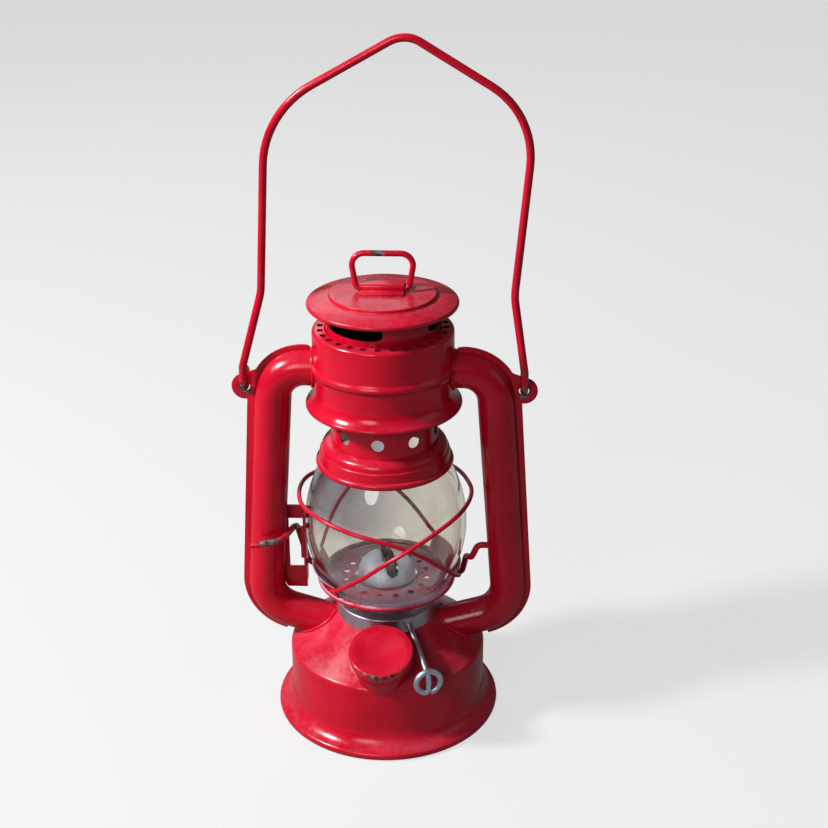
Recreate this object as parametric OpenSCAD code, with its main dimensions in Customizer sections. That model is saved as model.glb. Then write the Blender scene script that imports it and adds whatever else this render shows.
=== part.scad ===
// Small wind-proof oil lantern, hot-blast pattern, standing on its tank.
// Origin: centre of the foot on the surface it stands on. +X runs to the right air tube,
// -Y is the filler side, +Z is up. All sizes are in millimetres.

/* [Sheet and wire] */
// Thickness of the tinplate in every pressed piece
sheet = 0.6; // [0.4:0.1:0.8]
// Wall of the blown glass globe
glass_wall = 1.6; // [1.2:0.1:2]
// Diameter of the bail wire
bail_wire = 3.3; // [2.8:0.1:3.4]
// Diameter of the globe lift lever's wire
lever_wire = 2.8; // [2.2:0.1:3]
// Diameter of the globe guard wires
guard_wire = 2; // [1.4:0.1:2.2]
// Diameter of the wire of the ring on the cap
ring_wire = 2.8; // [2:0.1:3]
// Diameter of the wick shaft
shaft_wire = 2.1; // [1.6:0.1:2.2]

/* [Clearances] */
// Radial clearance of a turning shaft in its hole
run_gap = 0.06; // [0.04:0.01:0.1]
// Gap left by solder between seated pieces
seat_gap = 0.05; // [0.02:0.01:0.1]
// Free gap round pieces that slide or swing
move_gap = 0.4; // [0.3:0.05:0.6]

/* [Tank] */
// Radius over the rolled foot
foot_r = 50; // [48:0.5:52]
// Diameter of the rolled foot bead
foot_bead = 4; // [3.2:0.1:4.4]
// Depth of the flat worn on the underside of the foot
foot_flat = 0.2; // [0.1:0.05:0.4]
// Radius of the upright tank wall
tank_r = 43.6; // [42.6:0.2:44.6]
// Height where the wall starts to flare out to the foot
flare_z = 11.4; // [10.6:0.1:12.2]
// Height of the tank's shoulder
shoulder_z = 31; // [30:0.25:32.5]
// Radius of the rounded shoulder
shoulder_r = 2.5; // [1.5:0.25:3.5]
// Slope of the conical tank top in degrees
top_slope = 35; // [33:0.5:36.5]
// Height of the plate that closes the fuel space under the air chamber
fuel_deck_z = 28; // [25:0.5:28.5]
// Height of the pressed-in floor of the tank
floor_z = 3.2; // [2.8:0.1:4]

/* [Filler] */
// Radius over the filler cap
cap_r = 14; // [13.6:0.1:14.2]
// Height of the filler cap's skirt
cap_h = 6; // [5.6:0.1:6.4]
// Distance of the cap's centre in front of the lantern's axis
cap_y = 37.9; // [37.8:0.1:38.4]
// Height of the cap's centre
cap_z = 49.5; // [49.2:0.1:49.9]
// Forward tilt of the filler in degrees
cap_tilt = 20; // [18:0.5:22]
// Outer radius of the filler neck
neck_r = 12; // [11.6:0.1:12.2]
// Thickness of the cork gasket in the cap
gasket_t = 1.2; // [0.8:0.1:1.6]

/* [Burner] */
// Outer radius of the tin drum on the tank top
drum_r = 22.2; // [21.8:0.1:22.3]
// Height of the drum's top
drum_top = 54.2; // [53:0.1:54.4]
// Outer radius of the perforated gallery and of the cone on it
gallery_r = 13.2; // [12.8:0.1:13.3]
// Height where the cone sits on the gallery
cone_z = 65.5; // [64.5:0.25:66.5]
// Radius of the threaded collar in the tank top
collar_r = 12; // [11.4:0.1:12.1]
// Width of the flat wick
wick_w = 12; // [11:0.25:12.5]
// Thickness of the flat wick
wick_t = 2; // [1.6:0.1:2.2]
// Height of the wick's lit end at rest
wick_top = 76; // [75:0.25:76.5]
// Turn of the burner about the lantern's axis in degrees
burner_turn = 20; // [17:0.5:22]
// Downward slope of the wick shaft in degrees
shaft_slope = 17; // [16:0.5:18]
// Height of the wick shaft where it passes the wick
shaft_z = 56.8; // [56.2:0.1:57.2]
// Length of the wick shaft outside the wick
shaft_reach = 51.5; // [50.5:0.25:53]
// Radius of the wire loop that serves as the wick knob
knob_r = 6; // [5:0.1:6.2]
// Tip radius of the spiked wick wheels
wheel_r = 2.85; // [2.7:0.05:2.9]

/* [Air tubes] */
// Outer diameter of the air tubes
tube_d = 16; // [15:0.25:16.5]
// Height of the seam flange along the outside of the tubes
seam_h = 2.2; // [1.4:0.1:2.6]
// Height of the tube's axis where it enters the canopy
tube_top_z = 164.4; // [163.5:0.1:165]
// Bend radius of the upper elbow
upper_bend = 13.8; // [13:0.1:15]
// Distance of the upper elbow's centre from the lantern's axis
upper_x = 33.4; // [33:0.1:34.4]
// Bend radius of the lower elbow
lower_bend = 16; // [15:0.1:17]
// Distance of the lower elbow's centre from the lantern's axis
lower_x = 38; // [37.6:0.1:38.6]
// Height of the lower elbow's centre
lower_z = 60.5; // [60:0.25:61.5]
// Slope of the short leg that runs down into the tank top in degrees
leg_slope = 17; // [15:0.5:19]

/* [Bail] */
// Distance of the bail's eyes from the lantern's axis
ear_x = 58.8; // [58.6:0.1:59.4]
// Height of the holes in the bail ears
ear_z = 155.2; // [154.6:0.1:155.8]
// Radius of the bail ears
ear_r = 5.8; // [5.4:0.1:5.9]
// Radius of the holes in the bail ears
ear_hole_r = 2.15; // [2.1:0.05:2.3]
// Radius of the eye at each end of the bail
eye_r = 4; // [3.9:0.05:4.2]
// Height of the bail's peak above the floor
bail_top = 301; // [290:1:310]
// Half width of the bail between its corners
bail_half = 52; // [50:0.5:53]
// Sideways lean of the bail, as a share of its height
bail_lean = 0.076; // [0:0.004:0.08]

/* [Canopy and chimney] */
// Radius of the canopy drum
canopy_r = 29.6; // [29.2:0.1:30.4]
// Radius over the canopy's flared lower rim
canopy_rim_r = 33.1; // [32.6:0.1:34]
// Height of the canopy's flared lower rim
canopy_rim_z = 149.7; // [149.2:0.1:150.2]
// Height of the bead round the canopy
canopy_bead_z = 166.6; // [165.6:0.2:167.6]
// Height of the canopy's flat top
canopy_top_z = 183.3; // [182.5:0.1:183.5]
// Number of vent holes in the canopy's top
vents = 28; // [20:1:32]
// Radius of the chimney inside the canopy's top
chimney_r = 24; // [23.8:0.1:24.2]
// Radius of the perforated neck under the canopy
neck_tube_r = 22.8; // [22.4:0.1:23]
// Number of round holes in the perforated neck
neck_holes = 9; // [6:1:10]
// Radius over the cap's rolled rim
cap_rim_r = 31.5; // [31.2:0.1:33]
// Height of the cap's rolled rim
cap_rim_z = 194; // [193.8:0.1:195]
// Radius of the raised plateau on the cap
plateau_r = 22.2; // [21:0.2:23]
// Height of the cap's plateau
plateau_z = 198.4; // [198:0.1:199]
// Height of the wire ring on the cap above its pivot
ring_h = 14.4; // [14.2:0.1:18]
// Width of the wire ring at its top
ring_top_w = 27; // [24:0.5:30]
// Length of the folded strap that holds the wire ring
strap_l = 18; // [15:0.5:19]
// Backward lean of the wire ring at rest in degrees
ring_lean = 8; // [0:1:20]

/* [Globe and lift] */
// Largest outer radius of the glass globe
globe_r = 35.3; // [34.8:0.1:35.4]
// Height of the globe's largest radius
globe_mid_z = 92; // [90:0.5:94]
// Radius over the globe plate's rolled rim
plate_r = 30.5; // [30.2:0.1:30.8]
// Height of the globe plate's upper face with the globe raised
plate_z = 64.6; // [64.4:0.1:65]
// Height of the plate's side flaps above the plate
flap_h = 7.4; // [6.5:0.1:7.6]
// Half angle covered by each side flap in degrees
flap_half = 33.5; // [30:0.5:36]
// Turn of the globe plate about the lantern's axis in degrees
plate_turn = 16.5; // [12:0.5:18]
// Radius of the guard wires round the globe
guard_r = 37.4; // [37.2:0.1:37.8]
// Height of the guard wires on their high side
guard_high = 109.5; // [107:0.5:110]
// Height towards which the guard wires fall on their low side
guard_low = 68; // [67.5:0.5:70]
// Height of the globe ring's rolled rim
ring_rim_z = 122.4; // [121.8:0.1:123]
// Radius over the globe ring's rolled rim
ring_rim_r = 29.6; // [29.2:0.1:30]
// Height of the seat in the globe ring
ring_seat_z = 131.8; // [131:0.1:132.4]
// Height of the lift lever's pivot in the right tube
pivot_z = 80.6; // [80:0.1:81.2]
// How far the lever lowers the globe
lift_travel = 9; // [6:0.25:9]

/* [Hidden] */

$fn = 96;
// Sides of a wire's section and steps in each of its bends
wire_sides = 10;
bend_steps = 7;
arc_steps = 10;
// Length that makes a cut run clear past a face
past = 1;
red = "firebrick";
tin = "lightsteelblue";
bare_steel = "silver";

// Tank, from the foot up
bead_r = foot_bead / 2;
bead_z = bead_r - foot_flat;
// Where the hollow flare runs into the foot's bead, and the arc from there up to the wall
flare_meet = 0.7;
flare_foot = [foot_r - flare_meet * bead_r, bead_z + bead_r];
flare_run = flare_foot[0] - tank_r;
flare_drop = flare_z - flare_foot[1];
flare_r = (flare_run * flare_run + flare_drop * flare_drop) / (2 * flare_run);
flare_end = 180 + atan2(flare_drop, flare_r - flare_run);
cone_start = [tank_r - shoulder_r + shoulder_r * sin(top_slope), shoulder_z + shoulder_r * cos(top_slope)];
crown_z = cone_start[1] + (cone_start[0] - drum_r) * tan(top_slope);
function cone_at(r) = crown_z - (r - drum_r) * tan(top_slope);
floor_r = foot_r - foot_bead - seat_gap;
floor_rim_h = 2.2;
floor_rim_z = floor_z - floor_rim_h;

// Filler, in its own frame: origin at the cap's top centre, z along its axis
cap_wall = 0.8;
dish_depth = 0.6;
cap_border = 4.6;
dish_r = cap_r - cap_border;
cap_ridge = 1.5;
cap_edge = 1;
cap_under = -dish_depth - cap_wall;
gasket_top = cap_under - seat_gap;
neck_top = gasket_top - gasket_t - seat_gap;
gasket_play = 0.2;
gasket_r = cap_r - cap_wall - gasket_play;
neck_bore = neck_r - sheet * 2;
neck_lip = 0.4;
// Depth to which the filler's bore runs down from the cap
filler_reach = 32;

// Burner, in a frame turned by burner_turn with -y towards the knob
gallery_in = gallery_r - sheet;
collar_lip = 1;
tube_wall = 0.5;
wick_play = 0.2;
wick_tube_t = wick_t + 2 * wick_play + 2 * tube_wall;
wick_tube_w = wick_w + 2 * wick_play + 2 * tube_wall;
wick_bare = 2;
wick_tube_top = wick_top - wick_bare;
wick_low = 9;
wheel_bite = 0.15;
shaft_x = wick_t / 2 + wheel_bite + wheel_r;
shaft_r = shaft_wire / 2;
bearing_s = 5.4;
bearing_t = 0.8;
wheel_s = 3;
wheel_t = 1.2;
wheel_teeth = 12;
flame_slot_l = 2 * gallery_r;
flame_slot_t = 5.6;

// Air tubes: centres of the elbows and the splay of the straight run between them
tube_r = tube_d / 2;
tube_bore = tube_r - sheet;
seam_t = 2 * sheet;
upper_z = tube_top_z - upper_bend;
elbow_dx = lower_x - upper_x;
elbow_dz = upper_z - lower_z;
splay = atan2(elbow_dx, elbow_dz) + asin((lower_bend - upper_bend) / norm([elbow_dx, elbow_dz]));
run_top = [upper_x + upper_bend * cos(splay), upper_z + upper_bend * sin(splay)];
run_low = [lower_x + lower_bend * cos(splay), lower_z + lower_bend * sin(splay)];
leg_top = [lower_x + lower_bend * sin(leg_slope), lower_z - lower_bend * cos(leg_slope)];
function tube_x(z) = run_top[0] + (run_top[1] - z) * tan(splay);
tube_entry = 2;
run_l = norm(run_low - run_top);
ear_foot = 3.4;

// Canopy and chimney
rim_bead = 1.1;
canopy_bead = 0.9;
canopy_bead_h = 2;
canopy_shoulder = 1.8;
canopy_mouth = chimney_r + move_gap;
vent_r = 1.3;
vent_ring_r = (canopy_mouth + canopy_r - canopy_shoulder) / 2;
chimney_step = 2;
chimney_step_z = tube_top_z + chimney_step / 2;
chimney_top_z = cap_rim_z - 1.2;
window_h = 6;
window_low = canopy_top_z + 2.4;
neck_hole_r = 3;
neck_hole_up = 7.2;
neck_hole_z = ring_seat_z + neck_hole_up;
cap_rim_bead = 1.2;
cap_step = 1.6;
ring_r = ring_wire / 2;
ring_z = plateau_z + ring_r + seat_gap * 2;
strap_foot = 5.5;
strap_bore = ring_r + run_gap;

// Globe, plate, guards and lever
globe_up_r = 58;
globe_low_r = 48;
globe_neck_r = 24.4;
globe_neck_h = 5.4;
globe_neck_z = ring_seat_z - globe_neck_h;
globe_shoulder = 2;
globe_steps = 14;
globe_top_z = ring_seat_z - move_gap;
globe_foot_z = plate_z + seat_gap;
plate_bead = 1.2;
plate_play = 0.8;
plate_hole = gallery_r + plate_play;
flap_r = plate_r + 2.5;
guard_end = 180 - flap_half;
guard_flat = 55;
guard_span = 105;
guard_end_r = flap_r + guard_wire / 2 + seat_gap;
guard_bow_span = 34;
guard_in_from = 112;
guard_in_span = 30;
lever_r = lever_wire / 2;
pivot_x = tube_x(pivot_z) - tube_r / cos(splay);
pivot_play = 0.55;
pivot_hole_r = lever_r + pivot_play;
bracket_y = 4;
bracket_t = 0.8;
bracket_right = -36.1;
bracket_low_z = 55;
bracket_high_z = 96.5;
bracket_flange = 4;
// Where the lever's wire lies in the bracket's upper notch
notch_at = [-41.2, 2, 86.4];
slot_left = -43.6;
slot_right = -38.5;
slot_play = 2.1;
slot_low_z = notch_at[2] - lift_travel * (pivot_x - notch_at[0]) / pivot_x - lever_r - slot_play;
slot_high_z = 90;
slot_notch_h = 4.2;
slot_notch_x = -37.3;
// Distance from a tube's axis to the bracket's soldered edge
bracket_seat = sqrt(tube_r * tube_r - pow(bracket_y - bracket_t / 2, 2)) + seat_gap;

// Lift lever: corners of its wire as [x, y, z, bend radius], with a yoke round the drum between them
lever_under = 0.5;
lever_yoke_r = 27.4;
lever_yoke_x = -3;
lever_yoke_z = plate_z - plate_bead - lever_r - lever_under;
lever_stub = 5;
yoke_from = 36;
yoke_to = 152;
yoke_steps = 16;
yoke_fall = 0.25;
yoke_fall_x = -1;
lever_near = [[pivot_x + lever_stub, 0, pivot_z], [40.4, 0, pivot_z, 3], [37.8, 1, 73.8, 3],
              [35.2, 7.6, 70.4, 4], [33.4, 13.4, 59.5, 5], [29, 16.2, 54.9, 5], [23.6, 16.6, 55]];
lever_far = [[-29.5, 12.6, lever_yoke_z], [-36.4, 13.6, lever_yoke_z + lever_under, 3.5],
             [-40.6, 9.6, 83, 5], concat(notch_at, 5), [-45, -10.9, 86.4, 6], [-58, -13.5, 85.4]];

// Bail: bends above the eyes and below the peak, with their radii
eye_z = ear_z + eye_r;
eye_steps = 12;
eye_open = 50;
eye_turn = 230;
bail_foot_h = 6;
bail_foot_bend = 8;
bail_knee_h = 38;
bail_knee_bend = 26;
bail_shoulder_h = 29;
bail_shoulder_bend = 36;
bail_spread = 1;
bail_peak_bend = 12;
bail_peak_rise = 1.9;
lean_from = 13;

// Points of an arc in the plane
function arc(c, r, a0, a1, n = arc_steps) =
    [for (i = [0:n]) let (a = a0 + (a1 - a0) * i / n) c + r * [cos(a), sin(a)]];
function reverse(p) = [for (i = [len(p) - 1:-1:0]) p[i]];
function unit(v) = v / norm(v);
function left_of(d) = [-d[1], d[0]];

// A line of points moved sideways by t, with mitred corners
function beside(p, t) = [for (i = [0:len(p) - 1])
    let (back = unit(i > 0 ? p[i] - p[i - 1] : p[1] - p[0]),
         ahead = unit(i < len(p) - 1 ? p[i + 1] - p[i] : p[i] - p[i - 1]),
         n0 = left_of(back), n1 = left_of(ahead))
    p[i] + (n0 + n1) * t / (1 + n0 * n1)];

// A round shell of even thickness under the outline p, which runs upwards
module shell(p, t = sheet) {
    rotate_extrude() polygon(concat(p, reverse(beside(p, t))));
}

// A rolled edge
module rolled(r, z, bead) {
    rotate_extrude() translate([r - bead, z]) circle(r = bead);
}

// A tube section between two heights
module pipe(r_out, r_in, z0, z1) {
    translate([0, 0, z0]) difference() {
        cylinder(r = r_out, h = z1 - z0);
        translate([0, 0, -past]) cylinder(r = r_in, h = z1 - z0 + 2 * past);
    }
}

// Points of one bend at p between a and b, with radius r
function bend(a, p, b, r) =
    let (u = unit(a - p), v = unit(b - p), half = acos(u * v) / 2,
         c = p + unit(u + v) * r / sin(half),
         s = p + u * r / tan(half) - c, e = p + v * r / tan(half) - c, turn = 180 - 2 * half)
    [for (i = [0:bend_steps]) let (w = turn * i / bend_steps)
        c + (s * sin(turn - w) + e * sin(w)) / sin(turn)];

// A wire's route: straight runs between corners [x, y, z, bend radius]
function xyz(q) = [q[0], q[1], q[2]];
function route(q) = concat([xyz(q[0])],
    [for (i = [1:len(q) - 2]) each bend(xyz(q[i - 1]), xyz(q[i]), xyz(q[i + 1]), q[i][3])],
    [xyz(q[len(q) - 1])]);

// A round wire swept along the points p
module wire(p, d) {
    n = len(p);
    t = [for (i = [0:n - 1]) unit(p[min(i + 1, n - 1)] - p[max(i - 1, 0)])];
    start = unit(cross(t[0], abs(t[0][2]) < 0.9 ? [0, 0, 1] : [1, 0, 0]));
    side = [for (i = 0, s = start; i < n; i = i + 1,
                 s = i < n ? unit(s - t[i] * (s * t[i])) : s) s];
    ring = [for (i = [0:n - 1]) for (k = [0:wire_sides - 1])
        let (a = 360 * k / wire_sides) p[i] + (side[i] * cos(a) + cross(t[i], side[i]) * sin(a)) * d / 2];
    walls = [for (i = [0:n - 2]) for (k = [0:wire_sides - 1])
        let (j = (k + 1) % wire_sides, a = i * wire_sides, b = a + wire_sides)
        each [[a + k, b + j, a + j], [a + k, b + k, b + j]]];
    ends = [[for (k = [0:wire_sides - 1]) k],
            [for (k = [wire_sides - 1:-1:0]) (n - 1) * wire_sides + k]];
    polyhedron(ring, concat(walls, ends));
}

// Outline of the tank's outside, from the foot to the mouth
tank_line = concat(arc([tank_r + flare_r, flare_z], flare_r, flare_end, 180),
                   arc([tank_r - shoulder_r, shoulder_z], shoulder_r, 0, 90 - top_slope),
                   [[drum_r, crown_z], [collar_r, crown_z]]);

// The solid that fills the tank's outline, grown by g
module tank_body(g) {
    p = beside(tank_line, -g);
    rotate_extrude() polygon(concat([[0, 0], [foot_r, 0]], p, [[0, crown_z + g]]));
}

module at_filler() {
    translate([0, -cap_y, cap_z]) rotate([cap_tilt, 0, 0]) children();
}

module at_burner() {
    rotate([0, 0, burner_turn]) children();
}

// The wick shaft's frame: z runs outwards along the shaft from beside the wick
module at_shaft() {
    at_burner() translate([shaft_x, 0, shaft_z]) rotate([90 + shaft_slope, 0, 0]) children();
}

module at_plate() {
    rotate([0, 0, plate_turn]) children();
}

// Both sides of the lantern
module both_sides() {
    children();
    mirror([1, 0, 0]) children();
}

module tank_shell() color(red) difference() {
    union() {
        shell(tank_line);
        rolled(foot_r, bead_z, bead_r);
    }
    translate([0, 0, -foot_bead]) cylinder(r = foot_r + past, h = foot_bead);
    at_filler() translate([0, 0, -filler_reach]) cylinder(r = neck_bore, h = filler_reach - cap_h / 2);
    both_sides() leg_run(tube_bore - sheet);
    air_holes = 12;
    air_hole_r = 2;
    for (i = [0:air_holes - 1])
        rotate([0, 0, 360 * (i + 0.5) / air_holes])
            translate([(drum_r + gallery_r) / 2, 0, crown_z - 2 * sheet])
                cylinder(r = air_hole_r, h = 4 * sheet);
}

module tank_floor() color(red) rotate_extrude()
    polygon([[0, floor_z], [floor_r - sheet, floor_z], [floor_r - sheet, floor_rim_z],
             [floor_r, floor_rim_z], [floor_r, floor_z + sheet], [0, floor_z + sheet]]);

module fuel_deck() color(tin) difference() {
    translate([0, 0, fuel_deck_z]) cylinder(r = tank_r - sheet - seat_gap, h = sheet);
    translate([0, 0, fuel_deck_z - past]) cylinder(r = collar_r - seat_gap - sheet, h = 2 * past);
    at_filler() translate([0, 0, -filler_reach]) cylinder(r = neck_bore, h = filler_reach);
}

module burner_collar() color(tin) {
    pipe(collar_r - seat_gap, collar_r - seat_gap - sheet, fuel_deck_z + sheet, crown_z + collar_lip);
    pipe(gallery_in - seat_gap, collar_r - seat_gap - sheet, crown_z, crown_z + collar_lip);
}

module burner_drum() color(tin) difference() {
    deck = [[drum_r, crown_z], [drum_r, drum_top], [gallery_r + seat_gap, drum_top]];
    union() {
        shell(deck);
        rolled(drum_r, drum_top - sheet, sheet);
    }
    at_shaft() cylinder(r = shaft_r + move_gap, h = 2 * drum_r);
}

module burner_base() color(tin) difference() {
    plug_r = collar_r - 2 * seat_gap - sheet;
    flange_z = crown_z + collar_lip;
    flange_t = 0.8;
    plug_h = 4;
    bore_h = 32;
    union() {
        translate([0, 0, crown_z - plug_h])
            cylinder(r = plug_r, h = flange_z + flange_t - crown_z + plug_h);
        translate([0, 0, flange_z]) cylinder(r = gallery_in - seat_gap, h = flange_t);
    }
    at_burner() translate([0, 0, crown_z])
        cube([wick_tube_t + 2 * seat_gap, wick_tube_w + 2 * seat_gap, bore_h], center = true);
}

module burner_gallery() color(tin) difference() {
    rows = 3;
    per_row = 18;
    hole_r = 1.1;
    row_z = 60.4;
    row_pitch = 3.4;
    shaft_clear = 20;
    pipe(gallery_r, gallery_in, crown_z, cone_z);
    at_burner() for (row = [0:rows - 1]) for (i = [0:per_row - 1]) {
        turn = 360 * (i + row / 2) / per_row;
        if (min(turn, 360 - turn) > shaft_clear || row == 0)
            rotate([0, 0, turn - 90]) translate([gallery_in - past, 0, row_z - row * row_pitch])
                rotate([0, 90, 0]) cylinder(r = hole_r, h = sheet + 2 * past);
    }
    at_shaft() cylinder(r = shaft_r + run_gap, h = gallery_r + 2 * past);
}

module burner_cone() color(tin) difference() {
    translate([0, 0, cone_z]) sphere(r = gallery_r);
    translate([0, 0, cone_z]) sphere(r = gallery_in);
    translate([0, 0, cone_z - gallery_r - past]) cylinder(r = gallery_r + past, h = gallery_r + past);
    at_burner() translate([0, 0, cone_z + gallery_r])
        cube([flame_slot_t, flame_slot_l, gallery_r], center = true);
}

module wick_tube() color(bare_steel) at_burner() difference() {
    tube_low = crown_z - 6;
    window_play = 1.2;
    window_w = wheel_t + window_play;
    window_tall = 2 * wheel_r + window_play;
    translate([-wick_tube_t / 2, -wick_tube_w / 2, tube_low])
        cube([wick_tube_t, wick_tube_w, wick_tube_top - tube_low]);
    translate([-wick_t / 2 - wick_play, -wick_w / 2 - wick_play, tube_low - past])
        cube([wick_t + 2 * wick_play, wick_w + 2 * wick_play, wick_tube_top - tube_low + 2 * past]);
    for (s = [-wheel_s, wheel_s])
        translate([wick_tube_t / 2, -s * cos(shaft_slope), shaft_z - s * sin(shaft_slope)])
            rotate([shaft_slope, 0, 0])
                cube([2 * tube_wall + wick_play, window_w, window_tall], center = true);
}

module shaft_bearing() color(bare_steel) at_shaft() difference() {
    cheek_h = 5;
    face_x = wick_tube_t / 2 + seat_gap - shaft_x;
    for (s = [-bearing_s, bearing_s])
        translate([face_x, -cheek_h / 2, s - bearing_t / 2])
            cube([cheek_h / 2 - face_x, cheek_h, bearing_t]);
    translate([0, 0, -2 * bearing_s]) cylinder(r = shaft_r + run_gap, h = 4 * bearing_s);
}

module filler_neck() color(red) difference() {
    collar_h = 1.4;
    at_filler() {
        translate([0, 0, neck_top - filler_reach]) difference() {
            cylinder(r = neck_r, h = filler_reach);
            translate([0, 0, -past]) cylinder(r = neck_bore, h = filler_reach + 2 * past);
        }
        translate([0, 0, -cap_h - move_gap - collar_h]) difference() {
            cylinder(r = neck_r + neck_lip, h = collar_h);
            translate([0, 0, -past]) cylinder(r = neck_bore, h = collar_h + 2 * past);
        }
    }
    tank_body(seat_gap);
}

// The air tube's section: a rolled tube with its folded seam on the outside
module tube_section(r_bore, seam) {
    difference() {
        union() {
            circle(r = tube_r);
            if (seam) translate([tube_bore, -seam_t / 2]) square([seam_h + sheet, seam_t]);
        }
        circle(r = r_bore);
    }
}

// One elbow, from the frame's x axis round by angle a
module elbow(r_bend, a) {
    rotate_extrude(angle = a) translate([r_bend, 0]) tube_section(tube_bore, true);
}

// A straight run along y that starts at an elbow's end; a negative length runs on past the elbow
module straight(r_bend, l, seam) {
    translate([r_bend, 0, 0]) rotate([l < 0 ? 90 : -90, 0, 0])
        linear_extrude(abs(l)) tube_section(tube_bore, seam);
}

// The solid under the tank's conical top, grown by the seat gap, where the tubes' legs are cut
module under_cone() {
    wide = foot_r + tube_d;
    translate([0, 0, cone_at(wide) + seat_gap / cos(top_slope)])
        cylinder(r1 = wide, r2 = 0, h = wide * tan(top_slope));
}

// The short leg's axis line as a plain round bar of radius r, from its elbow down into the tank
module leg_run(r) {
    translate([leg_top[0], 0, leg_top[1]]) rotate([0, -90 - leg_slope, 0]) cylinder(r = r, h = 2 * drum_r);
}

// The upper elbow with its end in the canopy and the ear for the bail
module elbow_right_side() difference() {
    union() {
        translate([upper_x, 0, upper_z]) rotate([90, 0, 0]) rotate([0, 0, 90]) {
            straight(upper_bend, upper_x - canopy_r + tube_entry, false);
            elbow(upper_bend, splay - 90);
        }
        bail_ear();
    }
    translate([ear_x, 0, ear_z]) rotate([90, 0, 0]) cylinder(r = ear_hole_r, h = 4 * seam_t, center = true);
}

// The splayed run and the lower elbow; its seam starts below the bail ear
module tube_right_side() {
    plain_l = seat_gap + ear_foot;
    translate([run_top[0], 0, run_top[1]]) rotate([90, 0, 0]) rotate([0, 0, splay]) {
        translate([0, -seat_gap, 0]) straight(0, -ear_foot, false);
        translate([0, -plain_l, 0]) straight(0, plain_l - run_l, true);
        translate([-lower_bend, -run_l, 0]) elbow(lower_bend, leg_slope - 90 - splay);
    }
}

// The spigot that leads from the lower elbow into the tank's conical top
module spigot_right_side() difference() {
    translate([leg_top[0], 0, leg_top[1]]) rotate([0, -90 - leg_slope, 0]) mirror([1, 0, 0])
        translate([0, 0, seat_gap]) linear_extrude(leg_top[0] - drum_r) tube_section(tube_bore, false);
    under_cone();
    cylinder(r = drum_r + move_gap, h = lower_z);
}

// The flat ear that the seam widens into, with the hole for the bail's eye
module bail_ear() {
    root_r = upper_bend + tube_r - sheet;
    root_a = [0, 26];
    rotate([90, 0, 0]) linear_extrude(seam_t, center = true) difference() {
        hull() {
            translate([ear_x, ear_z]) circle(r = ear_r, $fn = 48);
            for (a = root_a)
                translate([upper_x, upper_z] + (root_r + sheet / 2) * [cos(a), sin(a)])
                    circle(r = sheet / 2, $fn = 16);
        }
        translate([upper_x, upper_z]) circle(r = root_r);
        translate(run_top) rotate(splay) translate([-tube_r - seat_gap, -2 * tube_d])
            square([2 * (tube_r + seat_gap), 2 * tube_d]);
    }
}

module left_elbow() color(red) mirror([1, 0, 0]) elbow_right_side();
module right_elbow() color(red) elbow_right_side();
module left_spigot() color(red) mirror([1, 0, 0]) spigot_right_side();
module right_spigot() color(red) spigot_right_side();
module left_tube() color(red) mirror([1, 0, 0]) tube_right_side();

module right_tube() color(red) difference() {
    tube_right_side();
    translate([pivot_x - past, 0, pivot_z]) rotate([0, 90, 0]) cylinder(r = pivot_hole_r, h = tube_r);
}

module canopy() color(red) difference() {
    rise = 3.4;
    line = concat([[canopy_rim_r - rim_bead, canopy_rim_z]],
                  [[canopy_rim_r - 2 * rim_bead, canopy_rim_z + rise / 2]],
                  [[canopy_r, canopy_rim_z + 2 * rise]],
                  [[canopy_r, canopy_bead_z - canopy_bead_h]],
                  [[canopy_r + canopy_bead, canopy_bead_z - canopy_bead_h / 3]],
                  [[canopy_r + canopy_bead, canopy_bead_z + canopy_bead_h / 3]],
                  [[canopy_r, canopy_bead_z + canopy_bead_h]],
                  arc([canopy_r - canopy_shoulder, canopy_top_z - canopy_shoulder], canopy_shoulder, 0, 90),
                  [[canopy_mouth, canopy_top_z]]);
    union() {
        shell(line);
        rolled(canopy_rim_r, canopy_rim_z, rim_bead);
    }
    for (i = [0:vents - 1]) rotate([0, 0, 360 * i / vents])
        translate([vent_ring_r, 0, canopy_top_z - 2 * sheet]) cylinder(r = vent_r, h = 4 * sheet);
    translate([0, 0, tube_top_z]) rotate([0, 90, 0])
        cylinder(r = tube_r + seat_gap, h = 4 * canopy_r, center = true);
}

module lever_bracket() color(red) {
    h = bracket_high_z - bracket_low_z;
    corner = 2.4;
    low_r = lower_bend - bracket_seat;
    low_a = asin((lower_z - bracket_low_z) / low_r);
    edge = concat(arc([-lower_x, lower_z], low_r, 180 + low_a, 180 - splay, 5),
                  [[bracket_seat / cos(splay) - tube_x(bracket_high_z), bracket_high_z]],
                  [[bracket_right, bracket_high_z], [bracket_right, bracket_low_z]]);
    translate([0, bracket_y + bracket_t / 2, 0]) rotate([90, 0, 0]) linear_extrude(bracket_t) difference() {
        polygon(edge);
        translate([slot_left, slot_low_z]) square([slot_right - slot_left, slot_high_z - slot_low_z]);
        translate([slot_left, slot_low_z]) square([slot_notch_x - slot_left, slot_notch_h]);
        translate([slot_left, slot_high_z - slot_notch_h]) square([slot_notch_x - slot_left, slot_notch_h]);
    }
    translate([bracket_right - bracket_t, bracket_y + bracket_t / 2, bracket_low_z + corner])
        cube([bracket_t, bracket_flange, h - 2 * corner]);
}

// A globe plate flap: a leaning wall on one side of the plate
module flap() {
    rotate([0, 0, -flap_half]) rotate_extrude(angle = 2 * flap_half)
        polygon([[plate_r - plate_bead - sheet, plate_z], [plate_r - plate_bead, plate_z - sheet],
                 [flap_r, plate_z + flap_h], [flap_r - sheet, plate_z + flap_h]]);
}

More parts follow.
